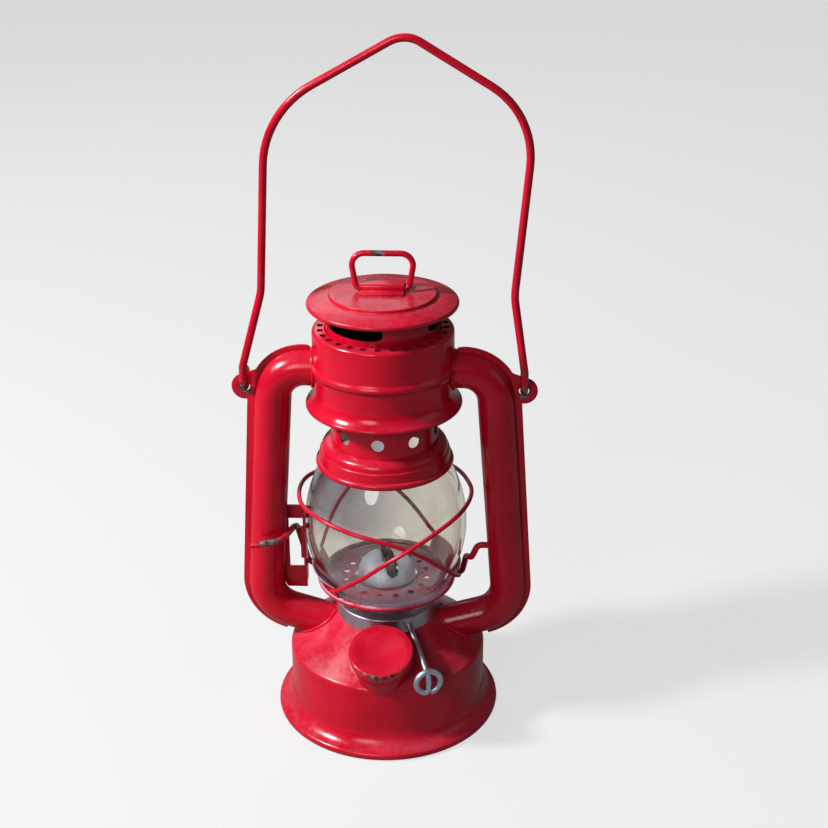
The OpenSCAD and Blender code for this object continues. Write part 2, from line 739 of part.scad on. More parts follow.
module globe_plate() color(red) at_plate() difference() {
    holes = 16;
    hole_r = 1.4;
    hole_ring_r = 18.2;
    union() {
        translate([0, 0, plate_z - sheet]) difference() {
            cylinder(r = plate_r - plate_bead, h = sheet);
            translate([0, 0, -past]) cylinder(r = plate_hole, h = 2 * past);
        }
        rolled(plate_r, plate_z, plate_bead);
        flap();
        rotate([0, 0, 180]) flap();
    }
    for (i = [0:holes - 1])
        rotate([0, 0, 360 * i / holes]) translate([hole_ring_r, 0, plate_z - 2 * sheet])
            cylinder(r = hole_r, h = 4 * sheet);
}

module globe_glass() color("lightcyan", 0.35) {
    low_c = [globe_r - globe_low_r, globe_mid_z];
    up_c = [globe_r - globe_up_r, globe_mid_z];
    a_low = asin((globe_foot_z - globe_mid_z) / globe_low_r);
    a_up = asin((globe_neck_z - globe_shoulder - globe_mid_z) / globe_up_r);
    shell(concat(arc(low_c, globe_low_r, a_low, 0, globe_steps),
                 arc(up_c, globe_up_r, a_up / globe_steps, a_up, globe_steps - 1),
                 [[globe_neck_r, globe_neck_z], [globe_neck_r, globe_top_z]]), glass_wall);
}

// Height of a guard wire at angle a from its high side
function guard_z(a) = abs(a) < guard_flat ? guard_high :
    guard_low + (guard_high - guard_low) * (1 + cos(180 * (abs(a) - guard_flat) / guard_span)) / 2;
function ease(t) = t <= 0 ? 0 : t >= 1 ? 1 : t * t * (3 - 2 * t);
function guard_at(a, bow) =
    guard_r - (guard_r - guard_end_r) * ease((abs(a) - guard_in_from) / guard_in_span)
    + bow * (1 - ease(abs(abs(a) - 90) / guard_bow_span));

// A guard hoop: high on one side of the globe, both ends on the flap of the other side,
// bowed out by bow where it crosses the other hoop
module guard(high_side, bow) {
    steps = 48;
    line = [for (i = [-steps:steps])
        let (a = guard_end * i / steps, r = guard_at(a, bow)) [r * cos(a), r * sin(a), guard_z(a)]];
    at_plate() rotate([0, 0, high_side]) wire(line, guard_wire);
}

module left_guard() color(red) guard(180, 0);
module right_guard() color(red) guard(0, guard_wire + 2 * seat_gap);

// The lift lever: from its pivot in the right tube, under the plate and round the drum, to the bracket
function yoke(a) = let (x = lever_yoke_x + lever_yoke_r * cos(a))
    [x, lever_yoke_r * sin(a), lever_yoke_z - yoke_fall * max(0, x - yoke_fall_x)];

module lift_lever() color(red) {
    round_drum = [for (i = [0:yoke_steps]) yoke(yoke_from + (yoke_to - yoke_from) * i / yoke_steps)];
    wire(concat(route(lever_near), round_drum, route(lever_far)), lever_wire);
}

module globe_ring() color(red) {
    skirt_rise = 3.6;
    neck_play = 1;
    corner = 0.6;
    shell([[ring_rim_r - rim_bead, ring_rim_z], [ring_rim_r - 2 * rim_bead, ring_rim_z + skirt_rise],
           [globe_neck_r + neck_play + corner, ring_seat_z + sheet - corner - past],
           [globe_neck_r + neck_play, ring_seat_z + sheet], [neck_tube_r - sheet, ring_seat_z + sheet]]);
    rolled(ring_rim_r, ring_rim_z, rim_bead);
}

module chimney_tube() color(red) difference() {
    line = [[neck_tube_r, ring_seat_z + sheet], [neck_tube_r, chimney_step_z],
            [chimney_r, chimney_step_z + chimney_step], [chimney_r, chimney_top_z]];
    windows = 3;
    window_a = 76;
    window_turn = -150;
    hole_turn = -93;
    shell(line);
    for (i = [0:neck_holes - 1]) rotate([0, 0, hole_turn + 360 * i / neck_holes])
        translate([neck_tube_r - sheet - past, 0, neck_hole_z]) rotate([0, 90, 0])
            cylinder(r = neck_hole_r, h = sheet + 2 * past);
    for (i = [0:windows - 1]) rotate([0, 0, window_turn + 360 * i / windows])
        translate([0, 0, window_low]) rotate_extrude(angle = window_a)
            translate([chimney_r - 3 * sheet, 0]) square([6 * sheet, window_h]);
}

module cap_disc() color(red) {
    crease_r = chimney_r + 1.5;
    crease_drop = 0.4;
    step_run = 0.8;
    skirt_drop = 1.4;
    line = [[cap_rim_r - cap_rim_bead, cap_rim_z], [crease_r, plateau_z - cap_step - crease_drop],
            [plateau_r, plateau_z - cap_step], [plateau_r - step_run, plateau_z], [0, plateau_z]];
    skirt_r = chimney_r - sheet - seat_gap;
    shell(line);
    rolled(cap_rim_r, cap_rim_z, cap_rim_bead);
    pipe(skirt_r, skirt_r - sheet, chimney_top_z - skirt_drop, plateau_z - cap_step);
}

module cap_strap() color(red) translate([-strap_l / 2, 0, 0]) rotate([90, 0, 90]) linear_extrude(strap_l)
    difference() {
        union() {
            translate([0, ring_z]) circle(r = strap_bore + sheet);
            translate([-strap_foot, plateau_z + seat_gap]) square([2 * strap_foot, sheet]);
            translate([-strap_bore - sheet, plateau_z + seat_gap])
                square([2 * strap_bore + 2 * sheet, ring_z - plateau_z - seat_gap]);
        }
        translate([0, ring_z]) circle(r = strap_bore);
        translate([-strap_bore, plateau_z]) square([2 * strap_bore, ring_z - plateau_z]);
        translate([-2 * strap_foot, plateau_z - 2 * sheet]) square([4 * strap_foot, 2 * sheet + seat_gap]);
    }

module lift_ring() color(red) translate([0, 0, ring_z]) rotate([-ring_lean, 0, 0]) {
    foot_x = strap_l / 2 + ring_r + move_gap;
    top_x = ring_top_w / 2;
    corner = 5;
    foot_bend = 2.2;
    half = [[0, 0, 0], [foot_x, 0, 0, foot_bend], [top_x, 0, ring_h, corner], [0, 0, ring_h]];
    right = route(half);
    left = [for (p = reverse(right)) [-p[0], p[1], p[2]]];
    lap = 4;
    wire(concat([[-lap, 0, 0]], [for (i = [1:len(right) - 2]) right[i]],
                [for (i = [1:len(left) - 2]) left[i]], [[-lap - seat_gap, 0, 0]]), ring_wire);
}

// The bail: an eye at each end, upright sides that draw in, sloping shoulders and a peak
function lean(p) = [p[0] + bail_lean * max(0, p[2] - eye_z - lean_from), p[1], p[2]];
function other_side(q) = [-q[0], q[1], q[2], q[3]];
function bail_eye(side) = [for (i = [0:eye_steps - 1]) let (a = eye_open - eye_turn * i / eye_steps)
    [side * ear_x, eye_r * cos(a), eye_z + eye_r * sin(a)]];
bail_side = [[-ear_x, -eye_r, eye_z], [-ear_x, -eye_r, eye_z + bail_foot_h, bail_foot_bend],
             [-bail_half, 0, eye_z + bail_knee_h, bail_knee_bend],
             [-bail_half - bail_spread, 0, bail_top - bail_shoulder_h, bail_shoulder_bend]];
bail_bow = route(concat(bail_side, [[0, 0, bail_top + bail_peak_rise, bail_peak_bend]],
                        [for (q = reverse(bail_side)) other_side(q)]));

module bail_handle() color(red)
    wire(concat(bail_eye(-1), [for (p = bail_bow) lean(p)], reverse(bail_eye(1))), bail_wire);

module filler_gasket() color("tan") at_filler() translate([0, 0, gasket_top - gasket_t]) difference() {
    cylinder(r = gasket_r, h = gasket_t);
    translate([0, 0, -past]) cylinder(r = neck_bore, h = gasket_t + 2 * past);
}

module filler_cap() color(red) at_filler() rotate_extrude()
    polygon(concat([[0, cap_under], [cap_r - cap_wall, cap_under]],
                   [[cap_r - cap_wall, -cap_h], [cap_r, -cap_h]],
                   arc([cap_r - cap_edge, -cap_edge], cap_edge, 0, 90, 5),
                   [[dish_r + cap_ridge, 0], [dish_r, -dish_depth], [0, -dish_depth]]));

module wick() color("wheat") at_burner()
    translate([-wick_t / 2, -wick_w / 2, wick_low]) cube([wick_t, wick_w, wick_top - wick_low]);

// The wick shaft, bent at its outer end into an open wire loop
module wick_shaft() color(bare_steel) at_shaft() {
    loop_drop = 3.2;
    loop_turn = 300;
    inner_end = 7;
    translate([0, 0, -inner_end]) cylinder(r = shaft_r, h = inner_end + shaft_reach);
    translate([0, 0, shaft_reach]) sphere(r = shaft_r);
    translate([0, 0, shaft_reach]) rotate([90, 0, 0]) cylinder(r = shaft_r, h = loop_drop + knob_r);
    translate([0, -loop_drop, shaft_reach]) rotate([0, 0, -90])
        rotate_extrude(angle = -loop_turn) translate([knob_r, 0]) circle(r = shaft_r);
}

module wick_wheels() color("goldenrod") at_shaft() for (s = [-wheel_s, wheel_s])
    translate([0, 0, s - wheel_t / 2]) linear_extrude(wheel_t) difference() {
        tooth_h = 0.7;
        polygon([for (i = [0:2 * wheel_teeth - 1])
            let (r = i % 2 == 0 ? wheel_r : wheel_r - tooth_h, a = 180 * i / wheel_teeth)
            r * [cos(a), sin(a)]]);
        circle(r = shaft_r + seat_gap);
    }

tank_shell();
tank_floor();
fuel_deck();
burner_collar();
burner_drum();
burner_base();
burner_gallery();
burner_cone();
wick_tube();
shaft_bearing();
filler_neck();
left_elbow();
right_elbow();
left_spigot();
right_spigot();
left_tube();
right_tube();
canopy();
lever_bracket();
globe_plate();
globe_glass();
left_guard();
right_guard();
lift_lever();
globe_ring();
chimney_tube();
cap_disc();
cap_strap();
lift_ring();
bail_handle();
filler_gasket();
filler_cap();
wick();
wick_shaft();
wick_wheels();
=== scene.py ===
"""Red hurricane lantern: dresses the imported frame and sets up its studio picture."""

import logging
import math
from collections.abc import Iterable, Sequence
from dataclasses import dataclass
from enum import Enum

import bpy
from mathutils import Matrix, Vector


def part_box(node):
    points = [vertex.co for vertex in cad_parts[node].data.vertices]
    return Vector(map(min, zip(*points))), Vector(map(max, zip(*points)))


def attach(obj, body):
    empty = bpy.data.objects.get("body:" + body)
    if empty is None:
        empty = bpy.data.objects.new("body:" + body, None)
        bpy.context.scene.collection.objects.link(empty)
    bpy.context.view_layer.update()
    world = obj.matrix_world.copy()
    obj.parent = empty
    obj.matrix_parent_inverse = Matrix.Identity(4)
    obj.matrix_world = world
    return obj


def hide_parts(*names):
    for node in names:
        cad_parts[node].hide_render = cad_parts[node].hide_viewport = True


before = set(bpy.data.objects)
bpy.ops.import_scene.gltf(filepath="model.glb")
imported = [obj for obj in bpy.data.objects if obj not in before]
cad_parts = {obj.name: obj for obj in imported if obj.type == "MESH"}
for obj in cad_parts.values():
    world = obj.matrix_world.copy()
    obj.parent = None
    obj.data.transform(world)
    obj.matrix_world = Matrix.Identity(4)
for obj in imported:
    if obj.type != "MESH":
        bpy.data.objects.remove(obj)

LOG = logging.getLogger("lantern")
MM = 0.001
MERGE = 0.002 * MM
FINE_TURN = 112
FOOT_TURN = 128
CUT_PAST = 2.0
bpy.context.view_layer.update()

Outline = list[tuple[float, float]]
Path = list[Vector]
Colour = tuple[float, float, float]
Point = tuple[float, float, float]

RUSTY: Colour = (0.055, 0.032, 0.026)
RUBBED: Colour = (0.25, 0.22, 0.22)
SMEARED: Colour = (0.05, 0.006, 0.010)
# Near-black for soot together with shade painted inside the chimney and under the canopy, skirt and cap.
SOOT_AND_SHADE_BLACK: Colour = (0.006, 0.004, 0.004)
PALE_DUST: Colour = (0.55, 0.5, 0.48)
CHARRED: Colour = (0.012, 0.010, 0.009)


class Body(Enum):
    """The frame's bodies that pieces ride on."""

    FRAME = "frame"
    CARRIAGE = "carriage"
    LEVER = "lever"
    CHIMNEY = "chimney"
    RING = "ring"
    BAIL = "bail"
    CAP = "cap"
    KNOB = "knob"


class Slot(Enum):
    """The record's material slots."""

    PAINT = "red_paint"
    WIRE = "red_wire"
    TIN = "tin"
    STEEL = "steel_wire"
    GLASS = "glass"
    CORK = "cork"
    WICK = "wick"
    BRASS = "brass"


def polar(radius: float, angle: float) -> tuple[float, float]:
    """The point at a distance from the origin and an angle in degrees."""
    turn = math.radians(angle)
    return radius * math.cos(turn), radius * math.sin(turn)


def arc(centre: Sequence[float], radius: float, start: float, end: float, steps: int = 12) -> Outline:
    """Points of an arc in a plane.

    Args:
        centre: Centre of the arc.
        radius: Radius of the arc.
        start: First angle in degrees.
        end: Last angle in degrees.
        steps: Number of chords.

    Returns:
        The points from the first angle to the last.
    """
    angles = [math.radians(start + (end - start) * i / steps) for i in range(steps + 1)]
    return [(centre[0] + radius * math.cos(a), centre[1] + radius * math.sin(a)) for a in angles]


def curve(first: Sequence[float], knee: Sequence[float], last: Sequence[float], steps: int = 8) -> Outline:
    """Points of a smooth bend in a plane that leaves both ends towards its knee.

    Args:
        first: First point.
        knee: The sharp corner that the bend rounds off.
        last: Last point.
        steps: Number of chords.

    Returns:
        The points from the first to the last.
    """
    points = []
    for i in range(steps + 1):
        t = i / steps
        shares = ((1 - t) ** 2, 2 * t * (1 - t), t * t)
        points.append(tuple(sum(s * p[k] for s, p in zip(shares, (first, knee, last))) for k in (0, 1)))
    return points


def on_rim(radius: float, height: float, bead: float, angle: float) -> tuple[float, float]:
    """The point of a rolled edge's section at an angle in degrees above its outermost point."""
    return arc((radius - bead, height), bead, angle, angle, 1)[0]


def bend(before: Vector, corner: Vector, after: Vector, radius: float, steps: int = 12) -> Path:
    """Points of a round bend at a corner of a wire.

    Args:
        before: Point that the wire comes from.
        corner: The sharp corner.
        after: Point that the wire goes to.
        radius: Radius of the bend.
        steps: Number of chords.

    Returns:
        The points along the bend.
    """
    back = (before - corner).normalized()
    ahead = (after - corner).normalized()
    half = back.angle(ahead) / 2
    centre = corner + (back + ahead).normalized() * radius / math.sin(half)
    first = corner + back * radius / math.tan(half) - centre
    last = corner + ahead * radius / math.tan(half) - centre
    turn = math.pi - 2 * half
    shares = [turn * i / steps for i in range(steps + 1)]
    return [centre + (first * math.sin(turn - w) + last * math.sin(w)) / math.sin(turn) for w in shares]


def route(corners: Sequence[Sequence[float]]) -> Path:
    """A wire's path: straight runs between corners, each (x, y, z, bend radius).

    Args:
        corners: The corners; the first and the last need no radius.

    Returns:
        The points along the wire.
    """
    points = [Vector(c[:3]) for c in corners]
    path = [points[0]]
    for i in range(1, len(corners) - 1):
        path += bend(points[i - 1], points[i], points[i + 1], corners[i][3])
    return path + [points[-1]]


def ease(t: float) -> float:
    """A smooth step from 0 to 1."""
    t = min(max(t, 0.0), 1.0)
    return t * t * (3 - 2 * t)


class Bench:
    """The modelling steps, each made of Blender's own operators. Sizes are in millimetres."""

    @staticmethod
    def clear() -> None:
        """Leave edit mode and deselect everything."""
        if bpy.context.mode != "OBJECT":
            bpy.ops.object.mode_set(mode="OBJECT")
        bpy.ops.object.select_all(action="DESELECT")

    @classmethod
    def pick(cls, obj: bpy.types.Object) -> None:
        """Make obj the only selected object.

        Args:
            obj: The piece.
        """
        cls.clear()
        obj.select_set(True)
        bpy.context.view_layer.objects.active = obj

    @classmethod
    def edit_all(cls, obj: bpy.types.Object) -> None:
        """Open obj in edit mode with all of it selected.

        Args:
            obj: The piece.
        """
        cls.pick(obj)
        bpy.ops.object.mode_set(mode="EDIT")
        bpy.ops.mesh.select_all(action="SELECT")

    @classmethod
    def line(cls, name: str, points: Iterable[Sequence[float]]) -> bpy.types.Object:
        """Draw a line by extruding one vertex from point to point.

        Args:
            name: Name of the new object.
            points: The points in millimetres.

        Returns:
            The object that holds the line.
        """
        path = [Vector(p) * MM for p in points]
        cls.clear()
        bpy.ops.mesh.primitive_plane_add(size=MM)
        obj = bpy.context.object
        obj.name = name
        cls.edit_all(obj)
        bpy.ops.mesh.merge(type="CENTER")
        bpy.ops.transform.translate(value=path[0])
        for here, there in zip(path, path[1:]):
            bpy.ops.mesh.extrude_region_move(TRANSFORM_OT_translate={"value": there - here})
        cls.clear()
        return obj

    @classmethod
    def modify(cls, obj: bpy.types.Object, kind: str, **settings: object) -> None:
        """Add one modifier with these settings and apply it.

        Args:
            obj: The piece.
            kind: Type of the modifier.
            settings: Its settings by name.
        """
        cls.pick(obj)
        modifier = obj.modifiers.new(kind.lower(), kind)
        for key, value in settings.items():
            setattr(modifier, key, value)
        bpy.ops.object.modifier_apply(modifier=modifier.name)

    @classmethod
    def tidy(cls, obj: bpy.types.Object) -> None:
        """Merge doubled points and turn the faces outwards.

        Args:
            obj: The piece.
        """
        cls.edit_all(obj)
        bpy.ops.mesh.remove_doubles(threshold=MERGE)
        bpy.ops.mesh.normals_make_consistent(inside=False)
        cls.clear()

    @classmethod
    def turned(cls, name: str, outline: Outline, wall: float = 0.0, steps: int = 96) -> bpy.types.Object:
        """Spin an outline round the lantern's axis.

        Args:
            name: Name of the piece.
            outline: Points of (radius, height).
            wall: Thickness of the sheet inside the outline; 0 for a closed outline.
            steps: Steps in the full turn.

        Returns:
            The turned piece.
        """
        obj = cls.line(name, [(r, 0.0, z) for r, z in outline])
        cls.edit_all(obj)
        bpy.ops.mesh.spin(steps=steps, angle=math.tau, center=(0, 0, 0), axis=(0, 0, 1))
        cls.tidy(obj)
        if wall:
            cls.modify(obj, "SOLIDIFY", thickness=wall * MM, offset=-1.0, use_even_offset=True)
        return obj

    @classmethod
    def rolled(cls, name: str, radius: float, height: float, bead: float) -> bpy.types.Object:
        """A rolled edge: a round bead about the axis, flat where it would pass the ground."""
        section = [(radius - bead + x, max(0.0, height + z)) for x, z in arc((0, 0), bead, 0, 360, 20)]
        return cls.turned(name, section)

    @classmethod
    def wire(cls, name: str, points: Iterable[Sequence[float]], diameter: float) -> bpy.types.Object:
        """A round wire along a path.

        Args:
            name: Name of the piece.
            points: Points of the wire's axis.
            diameter: Thickness of the wire.

        Returns:
            The wire as a closed mesh.
        """
        obj = cls.line(name, points)
        cls.pick(obj)
        bpy.ops.object.convert(target="CURVE")
        curve = bpy.context.object.data
        curve.bevel_depth = diameter / 2 * MM
        curve.bevel_resolution = 5
        curve.use_fill_caps = True
        bpy.ops.object.convert(target="MESH")
        obj = bpy.context.object
        cls.tidy(obj)
        return obj

    @classmethod
    def plate(cls, name: str, outline: Outline, thickness: float) -> bpy.types.Object:
        """A flat plate in the XZ plane, as thick to the front as to the back.

        Args:
            name: Name of the piece.
            outline: Closed outline of (x, z) points.
            thickness: Thickness along Y.

        Returns:
            The plate.
        """
        obj = cls.line(name, [(x, 0.0, z) for x, z in outline + outline[:1]])
        cls.edit_all(obj)
        bpy.ops.mesh.remove_doubles(threshold=MERGE)
        bpy.ops.mesh.edge_face_add()
        cls.clear()
        cls.modify(obj, "SOLIDIFY", thickness=thickness * MM, offset=0.0)
        cls.tidy(obj)
        return obj

    @classmethod
    def bar(cls, radius: float, start: Sequence[float], end: Sequence[float]) -> bpy.types.Object:
        """A round bar between two points, used to cut holes.

        Args:
            radius: Radius of the bar.
            start: Centre of one end.
            end: Centre of the other end.

        Returns:
            The bar.
        """
        first, last = Vector(start), Vector(end)
        axis = last - first
        cls.clear()
        bpy.ops.mesh.primitive_cylinder_add(
            vertices=28,
            radius=radius * MM,
            depth=axis.length * MM,
            location=(first + last) / 2 * MM,
            rotation=axis.to_track_quat("Z", "Y").to_euler(),
        )
        bpy.ops.object.transform_apply(location=True, rotation=True, scale=True)
        return bpy.context.object

    @classmethod
    def block(cls, size: Sequence[float], centre: Sequence[float], turn: float) -> bpy.types.Object:
        """A box turned about the lantern's axis by an angle in degrees, used to cut slots.

        Args:
            size: Lengths of its sides.
            centre: Its centre before it is turned.
            turn: Angle about the axis.

        Returns:
            The box.
        """
        cls.clear()
        spin = Matrix.Rotation(math.radians(turn), 4, "Z")
        bpy.ops.mesh.primitive_cube_add(
            size=1.0,
            location=spin @ (Vector(centre) * MM),
            rotation=(0, 0, math.radians(turn)),
            scale=Vector(size) * MM,
        )
        bpy.ops.object.transform_apply(location=True, rotation=True, scale=True)
        return bpy.context.object

    @classmethod
    def join(cls, name: str, pieces: Sequence[bpy.types.Object]) -> bpy.types.Object:
        """Join pieces into the first of them under a new name.

        Args:
            name: Name of the joined piece.
            pieces: The pieces.

        Returns:
            The joined piece.
        """
        cls.pick(pieces[0])
        for piece in pieces[1:]:
            piece.select_set(True)
        bpy.ops.object.join()
        pieces[0].name = name
        return pieces[0]

    @classmethod
    def cut(cls, obj: bpy.types.Object, cutters: Sequence[bpy.types.Object]) -> None:
        """Cut the cutters out of obj and delete them.

        Args:
            obj: The piece.
            cutters: The shapes to cut out.
        """
        tool = cls.join("cutter", cutters)
        cls.modify(obj, "BOOLEAN", operation="DIFFERENCE", solver="EXACT", object=tool)
        cls.pick(tool)
        bpy.ops.object.delete()

    @classmethod
    def place(cls, obj: bpy.types.Object, matrix: Matrix) -> None:
        """Move a finished mesh by a matrix in millimetres and apply the move.

        Args:
            obj: The piece.
            matrix: The move.
        """
        cls.pick(obj)
        obj.location = matrix.to_translation() * MM
        obj.rotation_euler = matrix.to_euler()
        bpy.ops.object.transform_apply(location=True, rotation=True, scale=True)

    @classmethod
    def soften(cls, obj: bpy.types.Object, width: float = 0.0, angle: float = 34.0) -> None:
        """Round the sharp edges by a width and shade the rest smooth.

        Args:
            obj: The piece.
            width: Width of the rounding; 0 for none.
            angle: Angle in degrees above which an edge is sharp.
        """
        if width:
            limit = {"limit_method": "ANGLE", "angle_limit": math.radians(angle)}
            cls.modify(obj, "BEVEL", width=width * MM, segments=2, **limit)
        cls.pick(obj)
        bpy.ops.object.shade_smooth_by_angle(angle=math.radians(angle))
        cls.clear()


class Wiring:
    """Short calls to lay out the nodes of one tree."""

    def __init__(self, tree: bpy.types.NodeTree) -> None:
        """Hold the tree."""
        self.tree = tree

    def node(self, kind: str, **settings: object) -> bpy.types.Node:
        """Add a node and set its properties.

        Args:
            kind: Type of the node.
            settings: Its properties by name.

        Returns:
            The node.
        """
        made = self.tree.nodes.new(kind)
        for key, value in settings.items():
            setattr(made, key, value)
        return made

    def feed(self, socket: bpy.types.NodeSocket, value: object) -> None:
        """Link a socket to an output, or set its value."""
        if isinstance(value, bpy.types.NodeSocket):
            self.tree.links.new(value, socket)
        else:
            socket.default_value = value

    def math(self, operation: str, a: object, b: object = 0.0, clamp: bool = False) -> bpy.types.NodeSocket:
        """A Math node's result.

        Args:
            operation: What is done.
            a: First value.
            b: Second value.
            clamp: Whether the result is held between 0 and 1.

        Returns:
            The result.
        """
        made = self.node("ShaderNodeMath", operation=operation, use_clamp=clamp)
        self.feed(made.inputs[0], a)
        self.feed(made.inputs[1], b)
        return made.outputs[0]

    def total(self, start: object, *parts: tuple[object, float], clamp: bool = False) -> bpy.types.NodeSocket:
        """A start value plus parts, each given with its weight.

        Args:
            start: The value to start from.
            parts: Pairs of a value and its weight.
            clamp: Whether the sum is held between 0 and 1.

        Returns:
            The sum.
        """
        for k, (value, weight) in enumerate(parts, 1):
            share = self.math("MULTIPLY", value, weight)
            start = self.math("ADD", start, share, clamp and k == len(parts))
        return start

    def vector(self, operation: str, a: object, b: object) -> bpy.types.Node:
        """A Vector Math node on two vectors.

        Args:
            operation: What is done.
            a: First vector.
            b: Second vector.

        Returns:
            The node.
        """
        made = self.node("ShaderNodeVectorMath", operation=operation)
        self.feed(made.inputs[0], a)
        self.feed(made.inputs[1], b)
        return made

    def split(self, vector: bpy.types.NodeSocket) -> bpy.types.NodeOutputs:
        """The outputs X, Y and Z of a vector.

        Args:
            vector: The vector.

        Returns:
            The outputs by name.
        """
        made = self.node("ShaderNodeSeparateXYZ")
        self.feed(made.inputs[0], vector)
        return made.outputs

    def ramp(
        self, value: object, low: object, high: object, to: Sequence[float] = (0.0, 1.0)
    ) -> bpy.types.NodeSocket:
        """A smooth step of value from low to high, scaled to a range.

        Args:
            value: The value.
            low: Where the step starts.
            high: Where it ends.
            to: Results at both ends.

        Returns:
            The scaled step.
        """
        made = self.node("ShaderNodeMapRange", interpolation_type="SMOOTHSTEP")
        for name, item in zip(("Value", "From Min", "From Max", "To Min", "To Max"), (value, low, high, *to)):
            self.feed(made.inputs[name], item)
        return made.outputs[0]

    def mix(self, share: object, a: object, b: object, blend: str = "MIX") -> bpy.types.NodeSocket:
        """A mix of two colours.

        Args:
            share: Share of the second colour.
            a: First colour.
            b: Second colour.
            blend: How they are mixed.

        Returns:
            The mixed colour.
        """
        made = self.node("ShaderNodeMix", data_type="RGBA", blend_type=blend)
        self.feed(made.inputs[0], share)
        for socket, item in ((made.inputs[6], a), (made.inputs[7], b)):
            self.feed(socket, (*item, 1.0) if isinstance(item, tuple) else item)
        return made.outputs[2]

    def place(self, scale: Sequence[float] = (1.0, 1.0, 1.0)) -> bpy.types.NodeSocket:
        """Object coordinates, stretched.

        Args:
            scale: Stretch along each axis.

        Returns:
            The coordinates.
        """
        coords = self.node("ShaderNodeTexCoord")
        mapping = self.node("ShaderNodeMapping")
        self.feed(mapping.inputs["Vector"], coords.outputs["Object"])
        mapping.inputs["Scale"].default_value = scale
        return mapping.outputs[0]

    def noise(
        self,
        scale: object,
        detail: float = 3.0,
        rough: float = 0.55,
        stretch: Sequence[float] = (1.0, 1.0, 1.0),
    ) -> bpy.types.NodeSocket:
        """Noise over the piece, by its number of features in a metre.

        Args:
            scale: Features in a metre.
            detail: Number of finer layers.
            rough: Weight of the finer layers.
            stretch: Stretch along each axis.

        Returns:
            The noise.
        """
        made = self.node("ShaderNodeTexNoise")
        self.feed(made.inputs["Vector"], self.place(stretch))
        self.feed(made.inputs["Scale"], scale)
        made.inputs["Detail"].default_value = detail
        made.inputs["Roughness"].default_value = rough
        return made.outputs[0]


class Effect(Enum):
    """Surface effects that several finishes share, each a node group."""

    CHIPS = "chips"
    DUST = "dust"
    GRIME = "grime"
    PEEL = "peel"
    SPOT = "spot"
    # Soot together with painted shade on faces that point inwards and down.
    SOOT = "soot_and_shade"


def new_group(
    effect: Effect, inputs: dict[str, str], outputs: Sequence[str]
) -> tuple[bpy.types.NodeTree, Wiring, bpy.types.Node, bpy.types.Node]:
    """Start a node group with named sockets.

    Args:
        effect: The effect that the group makes.
        inputs: Socket types by input name.
        outputs: Names of the outputs, which are all values.

    Returns:
        The tree, its wiring, and the nodes that hold the inputs and the outputs.
    """
    tree = bpy.data.node_groups.new(effect.value, "ShaderNodeTree")
    for name, kind in inputs.items():
        tree.interface.new_socket(name, in_out="INPUT", socket_type=kind)
    for name in outputs:
        tree.interface.new_socket(name, in_out="OUTPUT", socket_type="NodeSocketFloat")
    wiring = Wiring(tree)
    return tree, wiring, wiring.node("NodeGroupInput"), wiring.node("NodeGroupOutput")


VALUE = "NodeSocketFloat"


def chips_group() -> bpy.types.NodeTree:
    """Paint chips that gather along edges: Amount, Scale to Mask.

    Returns:
        The group's tree.
    """
    tree, w, given, made = new_group(Effect.CHIPS, {"Amount": VALUE, "Scale": VALUE}, ["Mask"])
    edge = w.ramp(w.node("ShaderNodeNewGeometry").outputs["Pointiness"], 0.51, 0.60)
    coarse = w.noise(given.outputs["Scale"], 6.0, 0.62)
    fine = w.noise(w.math("MULTIPLY", given.outputs["Scale"], 5.0), 3.0, 0.6)
    total = w.total(0.0, (edge, 0.24), (coarse, 0.75), (fine, 0.22))
    limit = w.total(1.06, (given.outputs["Amount"], -0.42))
    w.feed(made.inputs["Mask"], w.ramp(total, limit, w.math("ADD", limit, 0.03)))
    return tree


def dust_group() -> bpy.types.NodeTree:
    """Dust that settles on what faces up: Amount, Scale to Mask.

    Returns:
        The group's tree.
    """
    tree, w, given, made = new_group(Effect.DUST, {"Amount": VALUE, "Scale": VALUE}, ["Mask"])
    up = w.ramp(w.split(w.node("ShaderNodeTexCoord").outputs["Normal"])["Z"], 0.15, 0.95)
    patches = w.ramp(w.noise(given.outputs["Scale"], 8.0, 0.65), 0.32, 0.72)
    specks = w.ramp(w.noise(w.math("MULTIPLY", given.outputs["Scale"], 9.0), 2.0, 0.5), 0.35, 0.75)
    cover = w.total(0.0, (patches, 0.7), (specks, 0.3))
    mask = w.math("MULTIPLY", w.math("MULTIPLY", up, cover), given.outputs["Amount"], clamp=True)
    w.feed(made.inputs["Mask"], mask)
    return tree


def grime_group() -> bpy.types.NodeTree:
    """Dark smears and specks: Amount, Scale to Mask.

    Returns:
        The group's tree.
    """
    tree, w, given, made = new_group(Effect.GRIME, {"Amount": VALUE, "Scale": VALUE}, ["Mask"])
    smears = w.ramp(w.noise(given.outputs["Scale"], 9.0, 0.7), 0.5, 0.78)
    specks = w.ramp(w.noise(w.math("MULTIPLY", given.outputs["Scale"], 14.0), 2.0, 0.5), 0.66, 0.74)
    cover = w.total(0.0, (smears, 0.75), (specks, 0.6))
    w.feed(made.inputs["Mask"], w.math("MULTIPLY", cover, given.outputs["Amount"], clamp=True))
    return tree


def peel_group() -> bpy.types.NodeTree:
    """The uneven skin of brushed or dipped enamel: Scale to Height.

    Returns:
        The group's tree.
    """
    tree, w, given, made = new_group(Effect.PEEL, {"Scale": VALUE}, ["Height"])
    waves = w.noise(given.outputs["Scale"], 2.0, 0.45)
    nibs = w.ramp(w.noise(w.math("MULTIPLY", given.outputs["Scale"], 4.0), 1.0, 0.4), 0.66, 0.8)
    w.feed(made.inputs["Height"], w.total(waves, (nibs, 0.35)))
    return tree


